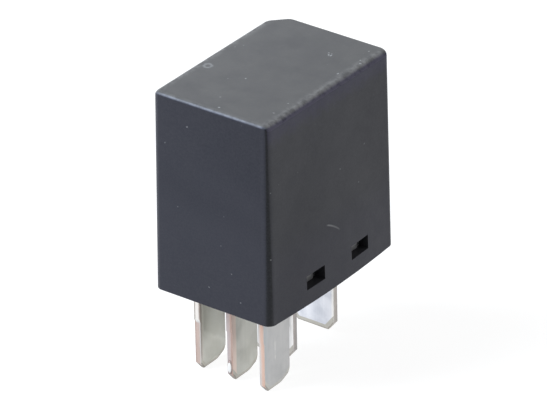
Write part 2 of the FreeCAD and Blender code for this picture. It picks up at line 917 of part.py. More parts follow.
def make_yoke():
    body = new_body("yoke")
    profile = new_sketch(body, "YZ_Plane")
    draw_polygon(profile, [
        (dim.yoke_front_y, dim.yoke_bottom),
        (dim.hinge_y, dim.yoke_bottom),
        (dim.hinge_y, dim.pole_level),
        (dim.yoke_inner_y, dim.pole_level),
        (dim.yoke_inner_y, dim.yoke_floor),
        (dim.yoke_front_y, dim.yoke_floor),
    ])
    pad(body, profile, dim.half_yoke * 2, symmetric=True)
    fillet(body, edges_along(body, "X", (dim.hinge_y, dim.yoke_bottom)), dim.yoke_bend)
    toe_corners = [(x, dim.yoke_front_y) for x in both_ways(dim.half_yoke)]
    chamfer(body, edges_along(body, "Z", *toe_corners), dim.yoke_bend)
    bore = new_sketch(body, "XY_Plane", dim.yoke_floor)
    draw_circle(bore, 0, dim.core_y, dim.core_rivet_radius + dim.rivet_gap)
    pocket(body, bore, dim.yoke_thickness)
    holes = new_sketch(body, "XZ_Plane", -dim.hinge_y)
    for x in both_ways(dim.terminal_rivet_x):
        draw_circle(holes, x, dim.terminal_rivet_z, dim.rivet_hole)
    for x in both_ways(dim.yoke_rivet_x):
        draw_circle(holes, x, dim.yoke_rivet_z, dim.rivet_hole)
    pocket(body, holes, dim.yoke_thickness).Reversed = True
    return body


def make_core():
    """Pole face, core, and the rivet end that is upset under the yoke."""
    body = new_body("core", y=dim.core_y)
    revolve(body, [
        (0, dim.yoke_bottom - dim.core_head),
        (dim.core_head_radius - dim.core_head, dim.yoke_bottom - dim.core_head),
        (dim.core_head_radius, dim.yoke_bottom),
        (dim.core_rivet_radius, dim.yoke_bottom),
        (dim.core_rivet_radius, dim.yoke_floor),
        (dim.core_radius, dim.yoke_floor),
        (dim.core_radius, dim.pole_bottom),
        (dim.pole_radius, dim.pole_bottom),
        (dim.pole_radius, dim.pole_level - dim.pole_ease),
        (dim.pole_radius - dim.pole_ease, dim.pole_level),
        (0, dim.pole_level),
    ])
    return body


def make_bobbin():
    body = new_body("bobbin", y=dim.core_y)
    bore = dim.core_radius + dim.bobbin_gap
    tube = bore + dim.bobbin_wall
    top = dim.pole_bottom - dim.bobbin_gap
    revolve(body, [
        (bore, dim.yoke_floor),
        (dim.flange_radius, dim.yoke_floor),
        (dim.flange_radius, dim.lug_top),
        (tube, dim.lug_top),
        (tube, top - dim.flange_thickness),
        (dim.flange_radius, top - dim.flange_thickness),
        (dim.flange_radius, top),
        (bore, top),
    ])

    # two lugs that reach forward to the coil posts, either side of the riser
    lugs = new_sketch(body, "XY_Plane", dim.yoke_floor)
    lug_front = dim.post_back + dim.lug_gap - dim.core_y
    notch_end = dim.riser_back + dim.lug_root_gap - dim.core_y
    draw_polygon(lugs, [
        (-dim.lug_half_width, lug_front),
        (-dim.lug_notch, lug_front),
        (-dim.lug_notch, notch_end),
        (dim.lug_notch, notch_end),
        (dim.lug_notch, lug_front),
        (dim.lug_half_width, lug_front),
        (dim.lug_half_width, -dim.core_radius),
        (-dim.lug_half_width, -dim.core_radius),
    ])
    pad(body, lugs, dim.flange_thickness)
    clear_bore = new_sketch(body, "XY_Plane", dim.lug_top)
    draw_circle(clear_bore, 0, 0, bore)
    pocket(body, clear_bore, dim.flange_thickness)
    return body


def make_winding():
    body = new_body("coil_winding", y=dim.core_y)
    inner = dim.core_radius + dim.bobbin_gap + dim.bobbin_wall + dim.winding_gap
    bottom = dim.lug_top + dim.winding_gap
    top = dim.pole_bottom - dim.bobbin_gap - dim.flange_thickness - dim.winding_gap
    outer = dim.winding_radius
    edge = dim.wire_radius * 2
    revolve(body, [
        (inner, bottom),
        (outer - edge, bottom),
        (outer, bottom + edge),
        (outer, top - edge),
        (outer - edge, top),
        (inner, top),
    ])
    return body


def make_lead(label, side, height):
    """One end of the winding's wire, led out over the lug and wound on its post."""
    radius = dim.wire_radius.number
    gap = dim.wire_gap.number
    post_x = dim.coil_pitch.number * side
    near_x = post_x - side * (dim.half_blade.number + radius + gap)
    far_x = post_x + side * (dim.half_blade.number + radius + gap)
    neck = dim.post_notch.number - radius - gap
    front = dim.small_front.number + neck
    back = dim.post_back.number - neck
    first_turn = dim.waist_bottom.number + radius + 2 * gap
    leaving = math.radians(dim.lead_angle.number)
    touch = dim.winding_radius.number + radius + gap
    start = Vector(
        side * touch * math.sin(leaving),
        dim.core_y.number - touch * math.cos(leaving),
        height.number,
    )
    points = [start, Vector(near_x, back + dim.post_width.number, first_turn)]
    for turn in range(WIRE_TURNS):
        corners = ((near_x, front), (far_x, front), (far_x, back), (near_x, back))
        for quarter, (x, y) in enumerate(corners, 1):
            climb = dim.turn_pitch.number * (turn + quarter / len(corners))
            points.append(Vector(x, y, first_turn + climb))
    direction = (points[1] - points[0]).normalize()
    across = direction.cross(Vector(0, 0, 1)).normalize() * radius
    upward = direction.cross(across)
    angles = [math.tau * side / WIRE_SIDES for side in range(WIRE_SIDES + 1)]
    ring = Part.makePolygon([
        start + across * math.cos(angle) + upward * math.sin(angle) for angle in angles
    ])
    mitred = 1
    feature = document.addObject("Part::Feature", label)
    feature.Shape = Part.makePolygon(points).makePipeShell([ring], True, True, mitred)
    return feature


# Armature, leaf spring and moving contact, held open by the spring at rest


def hinged_body(label, x=0):
    """A body drawn about the hinge axis and turned to the open rest position."""
    body = new_body(label, x=x, y=dim.hinge_y, z=dim.hinge_z)
    turn_about_x(body, -dim.open_angle)
    return body


def make_armature():
    body = hinged_body("armature")
    plate = new_sketch(body, "XY_Plane")
    half = dim.half_armature
    front = -dim.armature_length
    corner = dim.armature_corner
    draw_polygon(plate, [
        (-half, -dim.armature_heel),
        (-half, front + corner),
        (-half + corner, front),
        (half - corner, front),
        (half, front + corner),
        (half, -dim.armature_heel),
    ])
    pad(body, plate, dim.armature_thickness)
    heel = (-dim.armature_heel, dim.armature_thickness)
    fillet(body, edges_along(body, "X", heel), dim.armature_heel_round)
    holes = new_sketch(body, "XY_Plane")
    for x in both_ways(dim.armature_rivet_x):
        draw_circle(holes, x, -dim.armature_rivet_reach, dim.rivet_hole)
    cut_through(body, holes)
    return body


def tilted(along, above):
    """World Y and Z of a point of the armature at rest, from the hinge axis."""
    y = dim.hinge_y + along * dim.rest_cosine + above * dim.rest_sine
    z = dim.hinge_z - along * dim.rest_sine + above * dim.rest_cosine
    return y, z


def make_spring():
    """Leaf spring: upright leg on the yoke, bend over the hinge, leg on the armature."""
    body = new_body("contact_spring")
    end = -(dim.contact_reach + dim.tongue_end)
    inner_above = dim.armature_thickness
    outer_above = dim.spring_top
    inner_along = -(inner_above * dim.rest_sine / dim.rest_cosine)
    outer_along = (dim.spring_thickness - outer_above * dim.rest_sine) / dim.rest_cosine
    inner_corner = tilted(inner_along, inner_above)
    outer_corner = tilted(outer_along, outer_above)
    leg_back = dim.hinge_y + dim.spring_thickness
    profile = new_sketch(body, "YZ_Plane")
    draw_polygon(profile, [
        (dim.hinge_y, dim.spring_bottom),
        (leg_back, dim.spring_bottom),
        outer_corner,
        tilted(end, outer_above),
        tilted(end, inner_above),
        inner_corner,
    ])
    pad(body, profile, dim.half_spring * 2, symmetric=True)
    fillet(body, edges_along(body, "X", inner_corner), dim.spring_bend)
    outer_bend = dim.spring_bend + dim.spring_thickness
    fillet(body, edges_along(body, "X", outer_corner), outer_bend)

    # narrow tongue that carries the contact
    flank = new_sketch(body, "XY_Plane")
    half = dim.half_spring
    half_tongue = dim.tongue_width / 2
    root_y = dim.make_contact_y + dim.tongue_length
    beyond_end = dim.hinge_y + end - dim.cut_margin
    for side in (1, -1):
        draw_polygon(flank, [
            (half * side, root_y),
            (half_tongue * side, root_y - dim.tongue_taper),
            (half_tongue * side, beyond_end),
            ((half + dim.cut_margin) * side, beyond_end),
            ((half + dim.cut_margin) * side, root_y),
        ])
    cut_through(body, flank)

    # holes for the contact and for both pairs of rivets
    contact_y, _ = tilted(-dim.contact_reach, outer_above)
    rivet_y, _ = tilted(-dim.armature_rivet_reach, outer_above)
    top = new_sketch(body, "XY_Plane", dim.pole_level)
    draw_circle(top, 0, contact_y, dim.contact_shank + dim.spring_hole_gap)
    for x in both_ways(dim.armature_rivet_x):
        draw_circle(top, x, rivet_y, dim.rivet_radius + dim.spring_hole_gap)
    cut_through(body, top)
    leg = new_sketch(body, "XZ_Plane", -leg_back)
    for x in both_ways(dim.yoke_rivet_x):
        draw_circle(leg, x, dim.yoke_rivet_z, dim.rivet_hole)
    pocket(body, leg, dim.spring_thickness).Reversed = True
    return body


# Contacts and rivets


def contact_head(face, plate):
    """Half profile of a contact's head, from the middle of its eased face to its plate."""
    ease = dim.contact_round if face.number < plate.number else -dim.contact_round
    return [
        (0, face),
        (dim.contact_radius - dim.contact_round, face),
        (dim.contact_radius, face + ease),
        (dim.contact_radius, plate),
        (dim.contact_shank, plate),
    ]


def upset_end(end, plate):
    """Half profile of a contact's hammered end."""
    return [
        (0, end),
        (dim.upset_radius, end),
        (dim.upset_radius, plate),
        (dim.contact_shank, plate),
    ]


def make_moving_contact():
    body = hinged_body("moving_contact")
    lower = contact_head(dim.lower_face, dim.armature_thickness)
    upper = contact_head(dim.upper_face, dim.spring_top)
    revolve(body, lower + upper[::-1], dim.contact_reach)
    return body


def make_break_contact():
    body = new_body("break_contact", y=dim.break_contact_y)
    lower = contact_head(dim.break_face_z, dim.break_tab_bottom)
    upper = upset_end(dim.break_tab_top + dim.contact_upset, dim.break_tab_top)
    revolve(body, lower + upper[::-1])
    return body


def make_make_contact():
    body = new_body("make_contact", y=dim.make_contact_y)
    lower = upset_end(dim.make_tab_bottom - dim.contact_upset, dim.make_tab_bottom)
    upper = contact_head(dim.make_face_z, dim.make_tab_top)
    revolve(body, lower + upper[::-1])
    return body


def rivet_head(seat):
    """Half profile of a rivet's head from its seat outwards."""
    end = seat + dim.rivet_head
    return [(dim.rivet_head_radius, seat), (dim.rivet_head_radius, end), (0, end)]


def flat_rivet(label, x, z, outer_y):
    """A rivet along Y through the yoke and the plate on its outer face."""
    body = new_body(label, x=x, z=z)
    # drawn about Z, then laid along Y
    turn_about_x(body, -90)
    upset = dim.yoke_inner_y - dim.rivet_head
    revolve(body, [
        (0, upset),
        (dim.rivet_head_radius, upset),
        (dim.rivet_head_radius, dim.yoke_inner_y),
        (dim.rivet_radius, dim.yoke_inner_y),
        (dim.rivet_radius, outer_y),
        *rivet_head(outer_y),
    ])
    return body


def armature_rivet(label, x):
    """A rivet through the armature and the spring, its lower end flush."""
    body = hinged_body(label, x)
    profile = [
        (0, dim.residual_gap),
        (dim.rivet_radius, dim.residual_gap),
        (dim.rivet_radius, dim.spring_top),
        *rivet_head(dim.spring_top),
    ]
    revolve(body, profile, dim.armature_rivet_reach)
    return body


def rivet_pair(label, make_rivet, half_distance, *rest):
    """Two equal rivets, one each side of the middle, as one node."""
    group = document.addObject("Part::Compound", label)
    group.Links = [
        make_rivet(f"{label}_{name}", x, *rest)
        for name, x in zip(("left", "right"), both_ways(half_distance))
    ]
    return group


lead_height = dim.lug_top + dim.lead_lift
terminal_face = dim.hinge_y + dim.blade_thickness
spring_face = dim.hinge_y + dim.spring_thickness

nodes = [
    make_cover(),
    make_base(),
    make_coil_terminal("coil_terminal_left", -1),
    make_coil_terminal("coil_terminal_right", 1),
    make_break_terminal(),
    make_make_terminal(),
    make_common_terminal(),
    make_yoke(),
    make_core(),
    make_bobbin(),
    make_winding(),
    make_lead("coil_lead_left", -1, lead_height),
    make_lead("coil_lead_right", 1, lead_height + dim.turn_pitch),
    make_armature(),
    make_spring(),
    make_moving_contact(),
    make_break_contact(),
    make_make_contact(),
    rivet_pair(
        "terminal_rivets", flat_rivet, dim.terminal_rivet_x, dim.terminal_rivet_z, terminal_face
    ),
    rivet_pair("yoke_rivets", flat_rivet, dim.yoke_rivet_x, dim.yoke_rivet_z, spring_face),
    rivet_pair("armature_rivets", armature_rivet, dim.armature_rivet_x),
]

document.recompute()

failed = [o.Label for o in document.Objects if "Invalid" in o.State or "Error" in o.State]
if failed:
    raise RuntimeError(f"did not build: {failed}")

for node in nodes:
    shape = node.Shape
    if shape.isNull() or not shape.isValid() or shape.Volume <= 0:
        raise RuntimeError(f"{node.Label} has no valid solid")

os.makedirs("parts", exist_ok=True)
for node in nodes:
    shape = node.Shape
    shape.exportStep(f"parts/{node.Label}.step")
    levels = f"z {shape.BoundBox.ZMin:.2f} to {shape.BoundBox.ZMax:.2f}"
    print(f"{node.Label}: {len(shape.Solids)} solid, {shape.Volume:.1f} mm3, {levels}")
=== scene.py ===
import math

import bmesh
import bpy
from mathutils import Matrix, Vector


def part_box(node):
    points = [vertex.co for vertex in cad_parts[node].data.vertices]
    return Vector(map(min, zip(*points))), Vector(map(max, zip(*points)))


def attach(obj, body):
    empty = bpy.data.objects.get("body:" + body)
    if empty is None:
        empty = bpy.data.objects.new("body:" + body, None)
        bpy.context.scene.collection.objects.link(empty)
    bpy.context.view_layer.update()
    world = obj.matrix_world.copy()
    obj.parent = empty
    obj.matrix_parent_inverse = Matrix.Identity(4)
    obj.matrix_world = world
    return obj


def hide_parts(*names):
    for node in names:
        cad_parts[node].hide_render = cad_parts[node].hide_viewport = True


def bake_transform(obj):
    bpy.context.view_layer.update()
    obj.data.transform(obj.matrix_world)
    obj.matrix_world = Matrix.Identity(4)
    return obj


# A five-blade relay with a moulded black cover, standing on its blades on a pale floor.
# Lengths are metres unless a name or a call says millimetres.

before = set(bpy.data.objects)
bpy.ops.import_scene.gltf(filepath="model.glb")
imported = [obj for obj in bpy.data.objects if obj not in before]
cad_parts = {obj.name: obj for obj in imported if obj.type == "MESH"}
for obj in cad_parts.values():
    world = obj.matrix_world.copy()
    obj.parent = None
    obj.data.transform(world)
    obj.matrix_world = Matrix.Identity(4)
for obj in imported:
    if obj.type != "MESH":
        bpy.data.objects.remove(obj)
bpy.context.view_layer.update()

MM = 0.001
STILL = "relay"
MOVING = "armature"

scene = bpy.context.scene
scene.view_settings.view_transform = "Standard"


def mm(*values):
    return Vector(values) * MM


# Small helpers for node trees


def place(tree, kind, inputs=None, **settings):
    """Add a node, set its options, then link or set its inputs."""
    node = tree.nodes.new(kind)
    for name, value in settings.items():
        setattr(node, name, value)
    for key, value in (inputs or {}).items():
        if isinstance(value, bpy.types.NodeSocket):
            tree.links.new(value, node.inputs[key])
        else:
            node.inputs[key].default_value = value
    return node


def calc(tree, operation, *values):
    """One step of arithmetic on numbers or sockets."""
    return place(tree, "ShaderNodeMath", dict(enumerate(values)), operation=operation).outputs[0]


def product(tree, total, *others):
    """Masks multiplied together."""
    for other in others:
        total = calc(tree, "MULTIPLY", total, other)
    return total


def vector_calc(tree, operation, *values):
    node = place(tree, "ShaderNodeVectorMath", dict(enumerate(values)), operation=operation)
    return node.outputs["Value" if operation == "DISTANCE" else "Vector"]


def ramp(tree, value, low, high, to_low=0.0, to_high=1.0):
    """A smooth step of the value from low to high, which may also run downwards."""
    node = place(
        tree,
        "ShaderNodeMapRange",
        {"Value": value, "From Min": low, "From Max": high, "To Min": to_low, "To Max": to_high},
        interpolation_type="SMOOTHSTEP",
    )
    return node.outputs["Result"]


# Places of the mix node's sockets when it mixes colours
MIX_FACTOR, MIX_COLOR_A, MIX_COLOR_B = 0, 6, 7
MIX_COLOR_OUT = 2


def blend_color(tree, share, first, second):
    node = place(
        tree,
        "ShaderNodeMix",
        {MIX_FACTOR: share, MIX_COLOR_A: first, MIX_COLOR_B: second},
        data_type="RGBA",
    )
    return node.outputs[MIX_COLOR_OUT]


def color(red, green, blue):
    return (red, green, blue, 1.0)


def painted(tree, skin, share, tone):
    """The skin with a tone laid over it, by a share from zero to one."""
    return blend_color(tree, share, skin, color(*tone))


def noise(tree, where, scale, detail=2.0, roughness=0.5):
    node = place(
        tree,
        "ShaderNodeTexNoise",
        {"Vector": where, "Scale": scale, "Detail": detail, "Roughness": roughness},
    )
    return node.outputs["Fac"]


def object_place(tree):
    return place(tree, "ShaderNodeTexCoord").outputs["Object"]


def object_normal(tree):
    return place(tree, "ShaderNodeTexCoord").outputs["Normal"]


def split_axes(tree, vector):
    return place(tree, "ShaderNodeSeparateXYZ", {0: vector}).outputs


def axis_of(tree, vector, axis):
    return split_axes(tree, vector)[axis]


def shader_group(name, inputs, outputs):
    """An empty shader group with named inputs and outputs, and its two end nodes."""
    tree = bpy.data.node_groups.new(name, "ShaderNodeTree")
    for label, kind, value in inputs:
        socket = tree.interface.new_socket(label, in_out="INPUT", socket_type=kind)
        socket.default_value = value
    for label, kind in outputs:
        tree.interface.new_socket(label, in_out="OUTPUT", socket_type=kind)
    return tree, tree.nodes.new("NodeGroupInput"), tree.nodes.new("NodeGroupOutput")


def use_group(tree, group, inputs=None):
    """The first output of a shared effect."""
    return place(tree, "ShaderNodeGroup", inputs, node_tree=group).outputs[0]


FLOAT = "NodeSocketFloat"
VECTOR = "NodeSocketVector"


# Shared effects


def make_moulded_grain():
    """Height of a fine moulded skin: a close grain over long shallow waves."""
    tree, start, end = shader_group(
        "moulded_grain",
        [("Grain Scale", FLOAT, 5200.0), ("Wave Scale", FLOAT, 160.0), ("Wave Share", FLOAT, 0.5)],
        [("Height", FLOAT)],
    )
    where = object_place(tree)
    fine = noise(tree, where, start.outputs["Grain Scale"], 3.0, 0.6)
    waves = noise(tree, where, start.outputs["Wave Scale"], 1.0)
    height = calc(tree, "MULTIPLY_ADD", waves, start.outputs["Wave Share"], fine)
    tree.links.new(height, end.inputs["Height"])
    return tree


def make_dust_specks():
    """Mask of scattered specks: a few cells, each with a small spot of its own size."""
    tree, start, end = shader_group(
        "dust_specks",
        [("Cells", FLOAT, 700.0), ("Share", FLOAT, 0.2), ("Spot", FLOAT, 0.12)],
        [("Mask", FLOAT)],
    )
    where = object_place(tree)
    cells = place(
        tree, "ShaderNodeTexVoronoi", {"Vector": where, "Scale": start.outputs["Cells"]}
    )
    lot, size, _ = split_axes(tree, cells.outputs["Color"])
    chosen = calc(tree, "LESS_THAN", lot, start.outputs["Share"])
    reach = calc(tree, "MULTIPLY", start.outputs["Spot"], size)
    inside = ramp(tree, cells.outputs["Distance"], reach, calc(tree, "MULTIPLY", reach, 0.4))
    tree.links.new(calc(tree, "MULTIPLY", chosen, inside), end.inputs["Mask"])
    return tree


def make_dust_and_light_on_top():
    """Mask of a thin layer of dust that lies on faces that look up, with painted light from above
    in it.
    """
    tree, start, end = shader_group(
        "dust_and_light_on_top",
        [("Cover", FLOAT, 0.8), ("Cloud Scale", FLOAT, 240.0)],
        [("Mask", FLOAT)],
    )
    up = ramp(tree, axis_of(tree, object_normal(tree), "Z"), 0.4, 0.75)
    clouds = noise(tree, object_place(tree), start.outputs["Cloud Scale"], 4.0, 0.6)
    pale_top = ramp(tree, clouds, 0.2, 0.8, 0.72, 1.0)
    tree.links.new(product(tree, up, pale_top, start.outputs["Cover"]), end.inputs["Mask"])
    return tree


def make_clouds():
    """Mask of soft stains, drawn out along the axes whose Stretch is below one."""
    tree, start, end = shader_group(
        "clouds",
        [
            ("Scale", FLOAT, 300.0),
            ("Stretch", VECTOR, (1.0, 1.0, 1.0)),
            ("Low", FLOAT, 0.35),
            ("High", FLOAT, 0.65),
        ],
        [("Mask", FLOAT)],
    )
    where = vector_calc(tree, "MULTIPLY", object_place(tree), start.outputs["Stretch"])
    value = noise(tree, where, start.outputs["Scale"], 3.0, 0.55)
    mask = ramp(tree, value, start.outputs["Low"], start.outputs["High"])
    tree.links.new(mask, end.inputs["Mask"])
    return tree


MOULDED_GRAIN = make_moulded_grain()
DUST_SPECKS = make_dust_specks()
DUST_AND_LIGHT_ON_TOP = make_dust_and_light_on_top()
CLOUDS = make_clouds()


# Materials


def new_material(name, base, roughness, metallic=0.0, specular=0.5):
    """A material with its Principled shader; constant values sit on the shader's sockets."""
    material = bpy.data.materials.new(name)
    material.use_nodes = True
    tree = material.node_tree
    tree.nodes.clear()
    shader = place(tree, "ShaderNodeBsdfPrincipled")
    output = place(tree, "ShaderNodeOutputMaterial")
    tree.links.new(shader.outputs[0], output.inputs["Surface"])
    shader.inputs["Base Color"].default_value = base
    shader.inputs["Roughness"].default_value = roughness
    shader.inputs["Metallic"].default_value = metallic
    shader.inputs["Specular IOR Level"].default_value = specular
    return material, tree, shader


def add_bump(tree, shader, height, distance, strength=1.0):
    bump = place(
        tree,
        "ShaderNodeBump",
        {"Height": height, "Distance": distance, "Strength": strength},
    )
    tree.links.new(bump.outputs["Normal"], shader.inputs["Normal"])


def feed(tree, socket, shader, name):
    tree.links.new(socket, shader.inputs[name])


# Marks on the cover, in millimetres: where each one is on its face, its radius and its strength
COVER_RIGHT = 8.4
COVER_FRONT = -12.25
COVER_TOP = 25.7
TOP_MARKS = [
    ((-6.74, 2.01), 0.14, 0.45),
    ((-6.2, 2.9), 0.12, 0.4),
    ((-2.73, -4.7), 0.13, 0.4),
    ((-1.07, -3.55), 0.16, 0.8),
    ((-0.69, -8.82), 0.16, 0.5),
    ((0.67, -10.93), 0.17, 0.7),
    ((2.98, 6.95), 0.13, 0.8),
    ((3.2, 6.63), 0.14, 0.8),
    ((3.42, 6.38), 0.15, 0.9),
    ((3.6, 6.45), 0.16, 1.0),
    ((3.62, 6.66), 0.15, 1.0),
    ((3.42, 6.95), 0.12, 0.7),
    ((6.86, 3.37), 0.17, 0.9),
    ((6.54, -5.76), 0.16, 0.6),
    ((6.58, -8.48), 0.15, 0.5),
    ((7.5, 6.9), 0.2, 0.8),
    ((7.1, 7.5), 0.14, 0.6),
    ((6.6, 9.89), 0.16, 0.6),
]
FRONT_MARKS = [
    ((-3.12, 22.52), 0.15, 0.45),
    ((-6.33, 19.56), 0.12, 0.3),
    ((-4.72, 11.73), 0.1, 0.35),
    ((2.86, 5.34), 0.13, 0.55),
    ((-0.38, 2.63), 0.12, 0.6),
    ((4.12, 1.98), 0.12, 0.55),
    ((1.45, 8.58), 0.11, 0.4),
    ((1.92, 12.52), 0.1, 0.3),
]
RIGHT_MARKS = [
    ((1.48, 14.65), 0.13, 0.5),
    ((5.1, 11.36), 0.13, 0.45),
    ((6.52, 15.67), 0.12, 0.4),
    ((-11.7, 8.62), 0.16, 0.5),
    ((-11.5, 17.18), 0.14, 0.35),
]
# a larger rub on the near top corner
CORNER_MARK = ((7.95, -11.8, 25.35), 0.28, 0.7)
COVER_MARKS = (
    [((x, y, COVER_TOP), radius, strength) for (x, y), radius, strength in TOP_MARKS]
    + [((x, COVER_FRONT, z), radius, strength) for (x, z), radius, strength in FRONT_MARKS]
    + [((COVER_RIGHT, y, z), radius, strength) for (y, z), radius, strength in RIGHT_MARKS]
    + [CORNER_MARK]
)

# How far noise shifts the marks' outlines, the ring on the top, and the scratch on the right wall
MARK_WOBBLE = 0.34
RING_PLACE = (-6.51, -3.47)
RING_RADIUS = 0.45
SCRATCH_PLACE = (-0.14, 7.93)
SCRATCH_DEGREES = -33.5


def pressed(tree, value, face_level, on_face):
    """The value itself, or the level of the face where it lies on that face."""
    return calc(tree, "MULTIPLY_ADD", calc(tree, "SUBTRACT", face_level, value), on_face, value)


def spot_mask(tree, where, centre, radius):
    away = vector_calc(tree, "DISTANCE", where, tuple(mm(*centre)))
    return ramp(tree, away, radius * MM, radius * 0.3 * MM)


def make_cover_marks():
    """Mask of the cover's own specks, its ring mark and its scratch."""
    tree, _, end = shader_group("cover_marks", [], [("Mask", FLOAT)])
    where = split_axes(tree, object_place(tree))
    normal = split_axes(tree, object_normal(tree))
    on_right = calc(tree, "GREATER_THAN", normal["X"], 0.6)
    on_front = calc(tree, "LESS_THAN", normal["Y"], -0.7)
    on_top = calc(tree, "GREATER_THAN", normal["Z"], 0.6)
    flat = place(
        tree,
        "ShaderNodeCombineXYZ",
        {
            "X": pressed(tree, where["X"], COVER_RIGHT * MM, on_right),
            "Y": pressed(tree, where["Y"], COVER_FRONT * MM, on_front),
            "Z": pressed(tree, where["Z"], COVER_TOP * MM, on_top),
        },
    ).outputs[0]
    wobble = place(tree, "ShaderNodeTexNoise", {"Vector": flat, "Scale": 2600.0})
    shift = vector_calc(tree, "SUBTRACT", wobble.outputs["Color"], (0.5, 0.5, 0.5))
    shift = vector_calc(tree, "MULTIPLY", shift, tuple(mm(MARK_WOBBLE, MARK_WOBBLE, MARK_WOBBLE)))
    ragged = vector_calc(tree, "ADD", flat, shift)
    total = 0.0
    for centre, radius, strength in COVER_MARKS:
        spot = calc(tree, "MULTIPLY", spot_mask(tree, ragged, centre, radius), strength)
        total = calc(tree, "MAXIMUM", total, spot)

    # pale worn ring on the top, unevenly strong
    away = vector_calc(tree, "DISTANCE", ragged, tuple(mm(*RING_PLACE, COVER_TOP)))
    ring = calc(tree, "ABSOLUTE", calc(tree, "SUBTRACT", away, RING_RADIUS * MM))
    worn = ramp(tree, noise(tree, flat, 1500.0), 0.35, 0.6, 0.1, 0.4)
    ring = calc(tree, "MULTIPLY", ramp(tree, ring, 0.3 * MM, 0.02 * MM), worn)
    total = calc(tree, "MAXIMUM", total, ring)

    # scratch on the right wall, a thin line that fades towards its far end
    turned = place(
        tree,
        "ShaderNodeMapping",
        {
            "Vector": flat,
            "Location": tuple(mm(COVER_RIGHT, *SCRATCH_PLACE)),
            "Rotation": (math.radians(SCRATCH_DEGREES), 0.0, 0.0),
        },
        vector_type="TEXTURE",
    ).outputs[0]
    _, along, across = split_axes(tree, turned)
    bend = product(tree, along, along, 60.0)
    line = calc(tree, "ABSOLUTE", calc(tree, "ADD", across, bend))
    line = ramp(tree, line, 0.16 * MM, 0.02 * MM)
    fade = ramp(tree, calc(tree, "ABSOLUTE", along), 1.65 * MM, 1.0 * MM)
    tone = ramp(tree, along, -1.6 * MM, 1.2 * MM, 0.6, 0.3)
    total = calc(tree, "MAXIMUM", total, product(tree, line, fade, tone, on_right))
    tree.links.new(total, end.inputs["Mask"])
    return tree


# Tones of the cover
COVER_COOL = (0.0305, 0.0317, 0.0433)
COVER_COOL_PALER = (0.0345, 0.0352, 0.0473)
FRONT_TOP_DARK = (0.006, 0.006, 0.012)
RIGHT_MIDDLE = (0.0305, 0.032, 0.0385)
RIGHT_FAR = (0.021, 0.0215, 0.028)
RIGHT_UPPER = (0.036, 0.035, 0.061)
# dust on the top, lightened further as painted light from above
DUST_AND_TOP_LIGHT_TONE = (0.121, 0.12, 0.117)
# painted light on the right rounded edge
ROUNDED_EDGE_LIGHT = (0.105, 0.1, 0.142)
# painted highlight along the front top edge
FRONT_EDGE_HIGHLIGHT = (0.15, 0.165, 0.215)
WEAR_CRUMBS = (0.27, 0.268, 0.265)
# painted shade down the front right edge
EDGE_SHADE = (0.009, 0.01, 0.012)
SKIN_GRAIN = (0.075, 0.078, 0.088)
DUST_SPECK = (0.25, 0.25, 0.25)
PALE_MARK = (0.42, 0.43, 0.44)
# painted shade in the latch windows
WINDOW_SHADE = (0.026, 0.026, 0.03)

# Millimetres: the latch windows' foot, head and farthest end
WINDOW_FOOT = 1.0
WINDOW_HEAD = 4.6
WINDOW_REACH = 9.0


